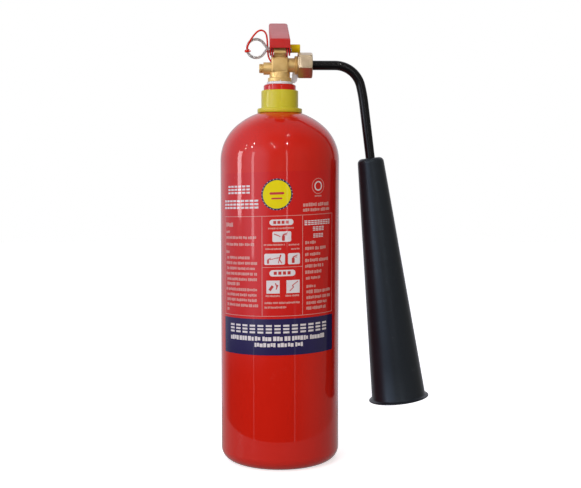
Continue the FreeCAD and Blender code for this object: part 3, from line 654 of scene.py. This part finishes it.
def addStroke(shape, start, end, thick):
    # a short straight stroke from point to point
    along = Vector((end[0] - start[0], 0, end[1] - start[1]))
    middle = Vector(((start[0] + end[0]) / 2, 0, (start[1] + end[1]) / 2))
    slope = math.atan2(along.z, along.x)
    matrix = Matrix.Translation(middle) @ Matrix.Rotation(-slope, 4, "Y")
    matrix = matrix @ upright @ Matrix.Diagonal((along.length, thick, 1, 1))
    bmesh.ops.create_grid(shape, x_segments=1, y_segments=1, size=0.5, matrix=matrix)


def addLine(shape, left, right, bottom, height, draw):
    # one line of made-up print: words of plain blocks
    place = left
    while place < right - 0.4 * height:
        for _ in range(draw.randint(2, 6)):
            wide = height * draw.uniform(0.55, 0.95)
            if place + wide > right:
                break
            low = bottom + height * draw.choice((0.0, 0.0, 0.12))
            high = bottom + height * draw.choice((1.0, 1.0, 0.86))
            addPatch(shape, place, low, place + wide * 0.84, high)
            place += wide
        place += height * draw.uniform(0.1, 0.45)


def addSign(shape, left, bottom, wide, high):
    # three plain bars, one above the other, standing in for one printed sign
    for share in (0.0, 0.39, 0.78):
        addPatch(shape, left, bottom + high * share, left + wide, bottom + high * (share + 0.22))


def addSigns(shape, left, right, bottom, high, count, share):
    pitch = (right - left) / count
    for place in range(count):
        addSign(shape, left + place * pitch, bottom, pitch * share, high)


def wrapOn(shape, lift, thickness):
    # bends the flat drawing round the cylinder and gives it its thickness
    places = [vert.co.x for vert in shape.verts]
    count = int((max(places) - min(places)) / label["slice"]) + 1
    for index in range(1, count):
        cut = min(places) + index * label["slice"]
        bmesh.ops.bisect_plane(
            shape, geom=shape.verts[:] + shape.edges[:] + shape.faces[:], dist=1e-4,
            plane_co=(cut, 0, 0), plane_no=(1, 0, 0))
    radius = label["radius"] + lift
    for vert in shape.verts:
        angle = vert.co.x / cylinder["radius"]
        tilt = label["tilt"] + (vert.co.z - label["bottom"]) * label["tiltRise"]
        height = vert.co.z + vert.co.x * tilt
        vert.co = (radius * math.sin(angle), -radius * math.cos(angle), height)
    for face in shape.faces:
        outward = Vector((face.calc_center_median().x, face.calc_center_median().y, 0))
        if face.normal.dot(outward) < 0:
            face.normal_flip()
    shape.normal_update()
    made = bmesh.ops.extrude_face_region(shape, geom=shape.faces[:])["geom"]
    for vert in onlyVerts(made):
        out = Vector((vert.co.x, vert.co.y, 0)).normalized()
        vert.co += out * thickness
    bmesh.ops.recalc_face_normals(shape, faces=shape.faces)
    toMetres(shape)


def makePrint(name, shape, finish, lift, thickness):
    wrapOn(shape, lift, thickness)
    makePiece(name, shape, "root", finish)


def makeLabel():
    draw = random.Random(label["seed"])
    ink = label["ink"]
    onFilm = label["film"] - label["sink"]
    x, z = label["emblem"]
    film, white, pale, navy, yellow, red, band = (bmesh.new() for _ in range(7))
    addPatch(film, label["left"], label["bottom"], label["right"], label["top"], label["corner"], 6)
    wrapOn(film, 0.0, label["film"])
    makePiece("label_film_sheet", film, "root", "label_film", replaced=("label",))

    for signs in label["signs"]:
        addSigns(white, *signs)
    for panel in label["panels"]:
        addPatch(white, *panel)
    addDisc(white, (43.2, 308.2), 5.2, 3.9)
    for turn in range(label["dots"]):
        angle = math.tau * turn / label["dots"]
        place = (x + label["dotCircle"] * math.cos(angle), z + label["dotCircle"] * math.sin(angle))
        addDisc(white, place, label["dot"], sides=8)
    makePrint("label_print_white", white, "print_white", onFilm, ink + label["whiteExtra"])

    makeFrameLines(pale)
    makeSmallPrint(pale, draw)
    makePrint("label_print_fine", pale, "print_pale", onFilm, ink + label["paleExtra"])

    addPatch(navy, label["left"] + 0.4, 128.3, 68.0, 167.6)
    addDisc(navy, (x, z), 16.9, 15.1, 72)
    makePrint("label_print_navy", navy, "print_navy", onFilm, ink)

    addDisc(yellow, (x, z), 15.2, sides=72)
    makePrint("label_print_yellow", yellow, "print_yellow", onFilm, ink)

    makePictures(red)
    makePrint("label_print_red", red, "print_red", label["film"] + ink, ink)

    addSigns(band, -63.6, 58.5, 152.0, 9.2, 13, 0.70)
    addLine(band, -63.5, 57.5, 143.9, 4.8, draw)
    addLine(band, -29.5, 25.5, 137.3, 4.4, draw)
    makePrint("label_print_band", band, "print_white", onFilm + ink, ink)


def makeFrameLines(shape):
    thin = 0.55
    left, right, bottom, top = -76.2, 67.0, 170.4, 278.2
    addPatch(shape, left, bottom, right, bottom + thin)
    addPatch(shape, left, top - thin, right, top)
    for place in (left, -21.0, 23.2, right - thin):
        addPatch(shape, place, bottom, place + thin, top)
    addPatch(shape, -21.0, 222.9, 23.2, 222.9 + thin)
    addDisc(shape, (43.2, 308.2), 8.5, 7.9, 48)


smallPrint = [
    # left, right, bottom, height of each line
    (-72.9, -56.5, 266.9, 4.6), (-72.9, -64.0, 260.1, 2.6), (-72.9, -25.5, 253.7, 3.0),
    (-72.9, -28.5, 246.3, 3.0), (-72.9, -63.5, 238.1, 3.0), (-70.8, -33.0, 231.9, 3.0),
    (-72.9, -24.7, 226.0, 3.0), (-70.8, -27.0, 220.2, 3.0), (-72.9, -24.7, 214.4, 3.0),
    (-70.8, -26.0, 208.5, 3.0), (-70.8, -48.0, 203.1, 3.4), (-72.9, -24.7, 197.4, 3.0),
    (-70.8, -24.7, 191.6, 3.0), (-70.8, -24.7, 186.0, 3.0), (-70.8, -24.7, 180.3, 3.0),
    (-70.8, -65.0, 175.1, 3.0),
    (26.5, 40.0, 246.5, 3.4), (26.5, 56.0, 240.1, 3.4), (26.5, 50.0, 233.8, 3.4),
    (26.5, 59.0, 227.4, 3.4), (26.5, 53.5, 221.2, 3.4), (26.5, 49.0, 214.8, 3.4),
    (27.5, 49.0, 208.5, 3.0), (28.0, 40.0, 199.6, 3.0), (28.0, 64.0, 193.4, 3.8),
    (28.0, 64.0, 187.5, 3.2), (28.0, 57.0, 181.7, 3.0), (28.0, 56.0, 175.8, 3.4),
    (-14.0, 14.0, 263.8, 1.8), (-18.8, 4.0, 246.3, 1.8), (8.0, 20.2, 245.9, 1.8),
    (-17.0, 0.5, 241.8, 1.8), (10.6, 20.2, 241.4, 1.8), (-16.8, -1.0, 191.4, 2.0),
    (4.6, 21.0, 191.4, 2.0), (-18.0, 21.5, 183.8, 2.2), (-18.0, 6.5, 179.0, 2.2),
    (24.0, 60.5, 286.8, 3.8), (24.0, 63.0, 281.4, 3.4), (38.4, 48.8, 296.8, 1.6),
]


def makeSmallPrint(shape, draw):
    for line in smallPrint:
        addLine(shape, *line, draw)


pictures = {
    # left, bottom and size of each bottle
    "bottles": [(0.8, 251.3, 8.6), (-15.2, 227.2, 6.2), (11.4, 227.2, 8.6)],
    # the nozzle and the lever of a bottle, as shares of its size: from, to, thickness
    "fittings": [((0.2, 0.78), (0.72, 0.98), 0.1), ((0.2, 0.76), (0.66, 0.72), 0.09)],
    "strokes": [
        ((-7.6, 258.7), (-3.4, 257.2), 1.1), ((-3.4, 257.2), (-0.8, 255.6), 0.9),
        ((-12.0, 231.3), (-3.6, 233.4), 0.7), ((-0.9, 235.0), (-2.0, 231.3), 1.5),
        ((-1.0, 234.0), (-4.4, 232.7), 0.7), ((-2.0, 231.5), (0.8, 227.4), 0.9),
        ((-2.0, 231.5), (-3.0, 227.4), 0.9), ((-12.6, 198.4), (-9.0, 203.3), 2.9),
        ((-6.2, 206.2), (-4.4, 201.7), 1.2), ((-3.6, 204.3), (-5.4, 199.4), 1.2),
        ((9.2, 197.4), (13.4, 201.5), 0.9), ((13.4, 201.5), (11.8, 203.1), 0.9),
        ((11.8, 203.1), (18.2, 207.6), 0.9),
    ],
    "head": ((-0.6, 235.7), 0.9),
}


def makePictures(shape):
    # plain bottle and arrow figures inside the white panels, and bars in the two pills and the emblem
    for left, bottom, size in pictures["bottles"]:
        addPatch(shape, left, bottom, left + size * 0.36, bottom + size * 0.66, size * 0.1)
        addPatch(shape, left + size * 0.1, bottom + size * 0.64, left + size * 0.26, bottom + size * 0.8)
        for start, end, thick in pictures["fittings"]:
            ends = [(left + size * across, bottom + size * up) for across, up in (start, end)]
            addStroke(shape, *ends, size * thick)
    for stroke in pictures["strokes"]:
        addStroke(shape, *stroke)
    addDisc(shape, *pictures["head"], sides=16)
    for place in range(4):
        addPatch(shape, -8.4 + place * 4.4, 269.4, -5.2 + place * 4.4, 272.7)
        addPatch(shape, -8.0 + place * 4.9, 215.1, -4.6 + place * 4.9, 218.6)
    addPatch(shape, -12.4, 300.6, 3.4, 303.2, 1.2)
    addPatch(shape, -10.4, 295.6, 1.4, 297.4, 0.8)


makeLabel()
print("label made")


# Thread tape between the valve's flange and the neck, with its torn tail
tape = {
    "inner": 12.55, "outer": 14.45, "bottom": 422.05, "top": 424.98, "steps": 120, "wobble": 0.28,
    "seed": 7,
    "tail": [(13.0, 4.0, 424.2), (15.0, 4.6, 424.8), (16.4, 4.8, 427.4), (17.0, 4.4, 431.0),
             (16.9, 4.2, 434.4), (16.4, 4.4, 437.4)],
    "tailWidth": [3.4, 5.2, 6.2, 6.4, 6.0, 3.6], "tailThickness": 0.18,
    "burr": {"place": (0.6, -13.6, 425.4), "lean": -0.35, "height": 3.0, "base": 0.9, "tip": 0.08,
             "flat": 0.45},
}


def makeTape():
    draw = random.Random(tape["seed"])
    inner, outer, bottom, top = (tape[key] for key in ("inner", "outer", "bottom", "top"))
    outline = [
        (outer - 0.3, bottom), (outer, bottom + 0.5), (outer - 0.25, bottom + 1.1),
        (outer - 0.05, bottom + 1.7), (outer - 0.35, top - 0.35), (outer - 0.8, top), (inner, top),
    ]
    shape = turnProfile((inner, bottom), [("to", *outline)], tape["steps"])
    offsets = {}
    for vert in shape.verts:
        turn = round(math.atan2(vert.co.y, vert.co.x), 3)
        reach = math.hypot(vert.co.x, vert.co.y)
        if reach > inner + 0.2:
            if turn not in offsets:
                offsets[turn] = draw.uniform(-1, 1)
            change = 1 + tape["wobble"] * offsets[turn] * 0.5 / reach
            vert.co.x *= change
            vert.co.y *= change
    bmesh.ops.smooth_vert(shape, verts=shape.verts, factor=0.2, use_axis_x=True, use_axis_y=True)
    addTail(shape, draw)
    addBurr(shape)
    toMetres(shape)
    makePiece("tape_wrap", shape, "root", "tape_white", replaced=("thread_tape",), sharpAngle=60)


def addTail(shape, draw):
    # a torn strip standing up behind the outlet neck
    edge = None
    strip = []
    for place, width in zip(tape["tail"], tape["tailWidth"]):
        centre = Vector(place)
        half = width / 2
        ends = []
        for side in (-1, -0.3, 0.4, 1):
            rag = draw.uniform(-0.25, 0.25)
            ends.append(shape.verts.new(centre + Vector((side * half + rag, side * 0.7 + rag, rag))))
        if edge:
            for index in range(3):
                corners = (edge[index], edge[index + 1], ends[index + 1], ends[index])
                strip.append(shape.faces.new(corners))
        edge = ends
    edges = list(dict.fromkeys(edge for face in strip for edge in face.edges))
    grown = bmesh.ops.subdivide_edges(shape, edges=edges, cuts=2, use_grid_fill=True, smooth=0.4)
    faces = [entry for entry in grown["geom"] if isinstance(entry, bmesh.types.BMFace) and entry.is_valid]
    for vert in dict.fromkeys(vert for face in faces for vert in face.verts):
        if vert.is_boundary:
            vert.co += Vector((draw.uniform(-0.3, 0.3), draw.uniform(-0.1, 0.1), draw.uniform(-0.3, 0.3)))
    bmesh.ops.solidify(shape, geom=faces, thickness=tape["tailThickness"])


def addBurr(shape):
    # the small torn point at the front
    burr = tape["burr"]
    place = Vector(burr["place"])
    made = bmesh.ops.create_cone(
        shape, cap_ends=True, segments=8, radius1=burr["base"], radius2=burr["tip"], depth=burr["height"],
        matrix=Matrix.Translation(place) @ Matrix.Rotation(burr["lean"], 4, "Y"))
    bmesh.ops.scale(
        shape, vec=(1, burr["flat"], 1), space=Matrix.Translation((0, -place.y, 0)), verts=made["verts"])


makeTape()


# Valve and fittings: the CAD shapes with eased edges
easedNodes = [
    # node, piece, body, finish, edge width, smallest edge angle
    ("valve_body", "valve_forging", "root", "valve_brass", 0.16, 30),
    ("union_nut", "outlet_union_nut", "root", "nut_brass", 0.45, 25),
    ("relief_cap", "relief_vent_cap", "root", "valve_brass", 0.22, 30),
    ("gland_nut", "stem_gland_nut", "root", "nut_brass", 0.25, 30),
    ("squeeze_lever", "squeeze_grip", "lever", "grip_paint", 0.38, 30),
    ("carry_handle", "carry_grip", "root", "grip_paint", 0.38, 30),
    ("handle_rivet", "handle_rivet_head", "root", "zinc_steel", 0.18, 30),
    ("pivot_pin", "pivot_pin_head", "root", "zinc_steel", 0.15, 30),
    ("pivot_clip", "pivot_spring_clip", "root", "spring_steel", 0.10, 30),
    ("pin_cap", "pin_end_cap", "end_cap", "cap_yellow", 0.0, 30),
    ("push_rod", "stem_push_rod", "stem", "stainless_steel", 0.12, 30),
]


easing = {"segments": 2, "merge": 2e-6, "flat": 0.6}   # metres to merge within, degrees that count as flat


def makeEased():
    for node, name, body, finish, width, angle in easedNodes:
        shape = softCopy(node, width, angle)
        makePiece(name, shape, body, finish, replaced=(node,), sharpAngle=40)


makeEased()
print("valve, grips and fittings made")


# Safety pin: two turns of wire as a pull ring, and two legs side by side
pull = {
    "centre": (-26.4, 12.0, 463.7), "wire": 0.75, "pitch": 0.78, "arc": 10.3, "spread": 37.0,
    "cornerArc": 1.3, "legStart": -15.0, "tip": 20.5, "sides": 14,
}


def makePull():
    shape = bmesh.new()
    x, y, z = pull["centre"]
    spread = pull["spread"]
    for side in (1, -1):
        big = pull["arc"] + side * pull["pitch"]
        corner = pull["cornerArc"] + side * pull["pitch"]
        run = (big - corner) * math.tan(math.radians(spread))
        moves = [("bend", big, 360 - 2 * spread, 60), ("run", run),
                 ("bend", corner, 2 * spread, 12), ("run", run)]
        start = (x + big * math.cos(math.radians(spread)), y, z + big * math.sin(math.radians(spread)))
        bendTube(shape, pull["wire"], start, 90 + spread, moves, pull["sides"])
    bmesh.ops.remove_doubles(shape, verts=shape.verts, dist=10 * mergeGap)
    halfLeg = ("run", (pull["tip"] - pull["legStart"]) / 2)
    for side in (1, -1):
        start = (pull["legStart"], y, z + side * pull["pitch"])
        for ring in bendTube(shape, pull["wire"], start, 0, [halfLeg, halfLeg], pull["sides"]):
            capRing(shape, ring)
    toMetres(shape)
    makePiece("pull_pin_wire", shape, "pull_pin", "pull_wire", replaced=("safety_pin",), recalculate=True)


makePull()


# Knots of the seal thread
knots = {
    "ringPlace": (-36.3, 12.0, 460.9), "ringTurn": 16.0, "thread": 0.72,
    "loop": 1.52, "loopStretch": (1.32, 0.92), "loops": [(-0.75, 0.10), (0.62, -0.12)],
    "hitch": 0.95, "hitchPlace": (-1.5, -1.5, 0.1), "hitchLean": 1.25,
    "stub": {"place": (-34.6, 10.2, 460.5), "turn": 86.0, "base": 0.8, "length": 4.6, "round": 0.2},
    "tailPlace": (8.66, 14.85, 447.05), "tailSize": 0.46, "tailPoints": 18, "tailThread": 0.62,
}


def addTorus(shape, major, minor, matrix, around=28, sides=12):
    circle = bmesh.ops.create_circle(
        shape, cap_ends=False, radius=minor, segments=sides,
        matrix=Matrix.Translation((major, 0, 0)) @ upright)
    bmesh.ops.spin(
        shape, geom=circle["verts"] + linkedEdges(circle["verts"]), cent=(0, 0, 0), axis=(0, 0, 1),
        angle=math.tau, steps=around, use_merge=True)
    # everything joined to the first circle is the new ring
    verts = dict.fromkeys(circle["verts"])
    grown = list(verts)
    while grown:
        vert = grown.pop()
        fresh = [other for other in (edge.other_vert(vert) for edge in vert.link_edges) if other not in verts]
        verts.update(dict.fromkeys(fresh))
        grown += fresh
    bmesh.ops.transform(shape, matrix=matrix, verts=list(verts))


def makeRingKnot():
    shape = bmesh.new()
    base = Matrix.Translation(knots["ringPlace"]) @ Matrix.Rotation(-math.radians(knots["ringTurn"]), 4, "Y")
    for shift, lean in knots["loops"]:
        place = base @ Matrix.Translation((0, 0, shift)) @ Matrix.Rotation(lean, 4, "Y")
        place = place @ Matrix.Diagonal((*knots["loopStretch"], 1, 1))
        addTorus(shape, knots["loop"], knots["thread"], place)
    hitch = base @ Matrix.Translation(knots["hitchPlace"]) @ Matrix.Rotation(knots["hitchLean"], 4, "X")
    addTorus(shape, knots["hitch"], knots["thread"], hitch)
    stub = knots["stub"]
    made = bmesh.ops.create_cone(
        shape, cap_ends=True, segments=16, radius1=stub["base"], radius2=knots["thread"],
        depth=stub["length"],
        matrix=Matrix.Translation(stub["place"]) @ Matrix.Rotation(math.radians(stub["turn"]), 4, "Y"))
    rims = [edge for edge in linkedEdges(made["verts"]) if edge.calc_face_angle(0) > 1.0]
    easeEdges(shape, rims, stub["round"], 3)
    toMetres(shape)
    return makePiece("seal_ring_knot", shape, "pull_pin", "thread_red", replaced=("ring_knot",),
                     recalculate=True)


def makeTailKnot():
    places = []
    for index in range(knots["tailPoints"]):
        turn = math.tau * index / knots["tailPoints"]
        across = math.sin(turn) + 2 * math.sin(2 * turn)
        along = math.cos(turn) - 2 * math.cos(2 * turn)
        place = Vector((across, along, -1.3 * math.sin(3 * turn))) * knots["tailSize"] * millimetre
        places.append(place)
    curve, spline = drawCurve("tail_knot_line", places, knots["tailThread"] * millimetre, 4)
    spline.use_cyclic_u = True
    holder = bpy.data.objects.new("tail_knot_line", curve)
    mesh = bpy.data.meshes.new_from_object(holder)
    bpy.data.objects.remove(holder)
    bpy.data.curves.remove(curve)
    shape = bmesh.new()
    shape.from_mesh(mesh)
    bpy.data.meshes.remove(mesh)
    bmesh.ops.remove_doubles(shape, verts=shape.verts, dist=mergeGap * millimetre)
    place = Matrix.Translation(Vector(knots["tailPlace"]) * millimetre) @ Matrix.Rotation(math.pi / 2, 4, "Y")
    bmesh.ops.transform(shape, matrix=place, verts=shape.verts)
    return makePiece("seal_tail_knot", shape, "pull_pin", "thread_red", replaced=("tail_knot",),
                     recalculate=True)


ringKnotPiece = makeRingKnot()
tailKnotPiece = makeTailKnot()
threadPiece.data.materials.append(finishes["thread_red"])
print("safety pin and knots made")


# Discharge tube and horn
tube = {
    "radius": 5.25, "start": (29.1, 0, 443.7), "straight": 32.9, "bend": 29.5, "turn": 76.0,
    "sweep": 170.0, "sweepTurn": 6.9, "tail": 87.188, "sides": 48,
}
horn = {
    "top": (101.932, 0, 340.5), "tilt": 7.1, "length": 276.0, "topRadius": 14.5, "mouthRadius": 30.6,
    "rim": 34.0, "wall": 2.5, "crown": 5.5, "cap": 12.0, "steps": 160, "flare": 3.6, "lip": 0.9,
}


def makeTube():
    shape = bmesh.new()
    moves = [("run", tube["straight"]), ("bend", tube["bend"], -tube["turn"], 36),
             ("bend", tube["sweep"], -tube["sweepTurn"], 10), ("run", tube["tail"])]
    for ring in bendTube(shape, tube["radius"], tube["start"], 0, moves, tube["sides"]):
        capRing(shape, ring)
    toMetres(shape)
    makePiece("discharge_bent_tube", shape, "horn", "tube_black", replaced=("discharge_tube",),
              recalculate=True)


def makeHorn():
    h = horn
    slope = (h["mouthRadius"] - h["topRadius"]) / h["length"]
    mouth = -h["length"]
    crown = h["crown"]
    outerTop = h["topRadius"] + slope * crown
    flare, lip = h["flare"], h["lip"]
    flareRadius = h["topRadius"] + slope * (h["length"] - flare)
    bore = tube["radius"] + 0.05
    innerMouth = h["mouthRadius"] - h["wall"]
    strokes = [
        ("to", (outerTop - crown, 0)),
        ("arc", (outerTop - crown, -crown), -90, 14),
        ("to", (flareRadius - 40 * slope, mouth + flare + 40), (flareRadius, mouth + flare)),
        ("to", (flareRadius + 0.25, mouth + flare - 0.7), (flareRadius + 0.9, mouth + flare - 1.3)),
        ("to", (h["rim"] - lip, mouth + 2 * lip)),
        ("arc", (h["rim"] - lip, mouth + lip), -180, 10),
        ("to", (innerMouth + 0.8, mouth), (innerMouth, mouth + 1.2)),
        ("to", (h["topRadius"] + slope * h["cap"] - h["wall"], -h["cap"]), (bore, -h["cap"])),
    ]
    shape = turnProfile((bore, 0), strokes, h["steps"])
    place = Matrix.Translation(h["top"]) @ Matrix.Rotation(-math.radians(h["tilt"]), 4, "Y")
    bmesh.ops.transform(shape, matrix=place, verts=shape.verts)
    toMetres(shape)
    makePiece("horn_moulded_cone", shape, "horn", "horn_plastic", replaced=("horn_shell",), recalculate=True)


makeTube()
makeHorn()
print("discharge tube and horn made")


# CAD nodes that stay as they are
def dressNodes():
    slots = {}
    for entry in frame["record"]["materials"]:
        for node in entry.get("nodes", []):
            slots[node] = entry["slot"]
    for name, node in frame["nodes"].items():
        if node.hide_render:
            continue
        slotName = slots.get(name) or node.data.materials[0].name.split(".")[0]
        node.data.materials.clear()
        node.data.materials.append(finishes[slotName])
        node.data.polygons.foreach_set("use_smooth", [True] * len(node.data.polygons))


dressNodes()


# Studio
studio = {
    "strips": [
        # turn from the front in degrees (left is negative), distance, width, lowest, highest, brightness
        (-83, 1.5, 0.24, 0.22, 0.80, 8.0),
        (-53, 1.5, 0.13, 0.12, 0.83, 4.4),
        (12, 1.5, 0.055, 0.15, 0.98, 4.2),
        (-52, 1.5, 0.035, -0.62, -0.02, 1.3),
        (27, 1.5, 0.05, -0.62, 0.10, 0.8),
    ],
    "bulbs": [
        # directions of the small ceiling lamps
        (-0.706, -0.406, 0.58), (-0.77, -0.431, 0.47), (-0.883, -0.265, 0.387), (-0.255, -0.725, 0.64),
        (0.199, -0.741, 0.641), (0.213, -0.456, 0.864), (-0.165, -0.833, 0.529), (-0.847, -0.213, 0.487),
    ],
    "bulbDistance": 2.0, "bulbSize": 0.06, "bulbBrightness": 80.0,
    "bulbCentre": (0, 0, 0.35), "bulbTint": (1.0, 0.98, 0.95), "stripTint": (0.94, 0.96, 1.0),
    "lampTarget": (0, 0, 0.25),
    "lamps": {
        # place, size, power, tint
        "key": ((-0.9, -1.6, 1.2), 1.0, 12.0, (1.0, 0.99, 0.98)),
        "fill": ((1.1, -1.4, 0.7), 1.0, 4.1, (1.0, 0.97, 0.93)),
        "low": ((-0.2, -1.6, 0.25), 0.6, 5.0, (1.0, 0.96, 0.90)),
        "top": ((0.0, 0.2, 1.6), 1.2, 3.0, (0.97, 0.98, 1.0)),
    },
    "floor": {"radius": 4.0, "seen": (0.95, 0.95, 0.95), "thrown": (0.35, 0.33, 0.33), "glow": 0.62},
    # the white paper near the object, seen only in its gloss
    "paper": {"radius": 0.265, "stretch": 0.85, "back": 0.09, "sunk": 0.0005, "glow": 0.34,
              "tint": (1.0, 0.98, 0.96)},
}
roomLobes = [
    # direction, cosines where it starts and is full, colour, whether it fades below the horizon
    ((-1.0, -0.10, 0.12), 0.30, 0.97, (0.60, 0.64, 0.82), True),
    ((0.0, 1.0, 0.10), 0.35, 0.90, (0.55, 0.55, 0.60), False),
    ((-0.74, -0.67, 0.10), 0.84, 0.985, (0.46, 0.52, 0.70), True),
    ((-0.30, -0.90, 0.30), 0.20, 0.95, (0.30, 0.285, 0.27), True),
    ((0.95, -0.10, 0.10), 0.40, 0.98, (0.22, 0.21, 0.19), False),
    ((0.0, 0.35, 0.95), 0.50, 0.98, (0.32, 0.32, 0.35), False),
]
roomDark = (0.05, 0.045, 0.04)


def addLight(name, place, target, width, height, power, tint, glossy):
    light = bpy.data.lights.new(name, "AREA")
    light.shape = "RECTANGLE"
    light.size = width
    light.size_y = height
    light.energy = power
    light.color = tint
    rig = addObject(name, light)
    rig.location = place
    rig.rotation_euler = (Vector(target) - Vector(place)).to_track_quat("-Z", "Y").to_euler()
    # a lamp is seen either in reflections or in the even light, never in both
    rig.visible_glossy = glossy
    rig.visible_diffuse = not glossy


def lightStudio():
    for index, (turn, distance, width, low, high, bright) in enumerate(studio["strips"]):
        angle = math.radians(turn)
        middle = (low + high) / 2
        place = (distance * math.sin(angle), -distance * math.cos(angle), middle)
        power = bright * math.pi * width * (high - low)
        addLight(f"strip_light_{index}", place, (0, 0, middle), width, high - low, power,
                 studio["stripTint"], True)
    size = studio["bulbSize"]
    power = studio["bulbBrightness"] * math.pi * size * size
    centre = Vector(studio["bulbCentre"])
    for index, direction in enumerate(studio["bulbs"]):
        place = centre + Vector(direction) * studio["bulbDistance"]
        addLight(f"bulb_light_{index}", place, centre, size, size, power, studio["bulbTint"], True)
    for name, (place, size, power, tint) in studio["lamps"].items():
        addLight(f"{name}_light", place, studio["lampTarget"], size, size, power, tint, False)


def paintWorld():
    world = bpy.data.worlds.new("studio_white")
    scene.world = world
    world.use_nodes = True
    tree = world.node_tree
    background = tree.nodes["Background"]
    rays = addNode(tree, "ShaderNodeLightPath")
    place = addNode(tree, "ShaderNodeTexCoord")
    split = addNode(tree, "ShaderNodeSeparateXYZ")
    horizon = addNode(tree, "ShaderNodeMapRange", {"From Min": -0.20, "From Max": -0.10},
                      interpolation_type="SMOOTHSTEP")
    wire(tree, (place, "Generated", split, 0), (split, "Z", horizon, "Value"))
    total = addNode(tree, "ShaderNodeVectorMath", {0: roomDark}, operation="ADD")
    for direction, start, full, colour, fades in roomLobes:
        facing = addNode(tree, "ShaderNodeVectorMath", {1: Vector(direction).normalized()},
                         operation="DOT_PRODUCT")
        lobe = addNode(tree, "ShaderNodeMapRange", {"From Min": start, "From Max": full},
                       interpolation_type="SMOOTHSTEP")
        tinted = addNode(tree, "ShaderNodeVectorMath", {0: colour}, operation="SCALE")
        summed = addNode(tree, "ShaderNodeVectorMath", operation="ADD")
        wire(tree, (place, "Generated", facing, 0), (facing, "Value", lobe, "Value"))
        if fades:
            faded = addNode(tree, "ShaderNodeMath", operation="MULTIPLY")
            wire(tree, (lobe, "Result", faded, 0), (horizon, "Result", faded, 1), (faded, 0, tinted, "Scale"))
        else:
            wire(tree, (lobe, "Result", tinted, "Scale"))
        wire(tree, (total, "Vector", summed, 0), (tinted, "Vector", summed, 1))
        total = summed
    colour = mixColours(tree, rays.outputs["Is Camera Ray"], total.outputs["Vector"], (1.0, 1.0, 1.0))
    tree.links.new(colour, background.inputs["Color"])
    background.inputs["Strength"].default_value = 1.0


def layDisc(name, shape, materialName):
    # one flat piece of the surroundings, with its own material
    mesh = bpy.data.meshes.new(name)
    shape.to_mesh(mesh)
    shape.free()
    sheet = addObject(name, mesh)
    material = bpy.data.materials.new(materialName)
    material.use_nodes = True
    mesh.materials.append(material)
    return sheet, material.node_tree, material.node_tree.nodes["Principled BSDF"]


def layFloor():
    look = studio["floor"]
    shape = bmesh.new()
    bmesh.ops.create_circle(shape, cap_ends=True, radius=look["radius"], segments=64)
    floor, tree, shader = layDisc("studio_floor", shape, "floor_white")
    shader.inputs["Roughness"].default_value = 0.9
    shader.inputs["Specular IOR Level"].default_value = 0.0
    shader.inputs["Emission Color"].default_value = (1, 1, 1, 1)
    rays = addNode(tree, "ShaderNodeLightPath")
    base = mixColours(tree, rays.outputs["Is Camera Ray"], look["thrown"], look["seen"])
    tree.links.new(base, shader.inputs["Base Color"])
    glow = addNode(tree, "ShaderNodeMath", {1: look["glow"]}, operation="MULTIPLY")
    wire(tree, (rays, "Is Camera Ray", glow, 0), (glow, 0, shader, "Emission Strength"))
    floor.visible_glossy = False


def layPaper():
    look = studio["paper"]
    shape = bmesh.new()
    bmesh.ops.create_circle(shape, cap_ends=True, radius=look["radius"], segments=64)
    bmesh.ops.scale(shape, verts=shape.verts, vec=(look["stretch"], 1, 1))
    bmesh.ops.translate(shape, verts=shape.verts, vec=(0, look["back"], -look["sunk"]))
    paper, _, shader = layDisc("studio_paper", shape, "paper_glow")
    shader.inputs["Base Color"].default_value = (0, 0, 0, 1)
    shader.inputs["Emission Color"].default_value = (*look["tint"], 1)
    shader.inputs["Emission Strength"].default_value = look["glow"]
    for ray in ("camera", "diffuse", "shadow", "transmission"):
        setattr(paper, f"visible_{ray}", False)


lightStudio()
paintWorld()
layFloor()
layPaper()
scene.view_settings.view_transform = "Standard"
print("studio lit")
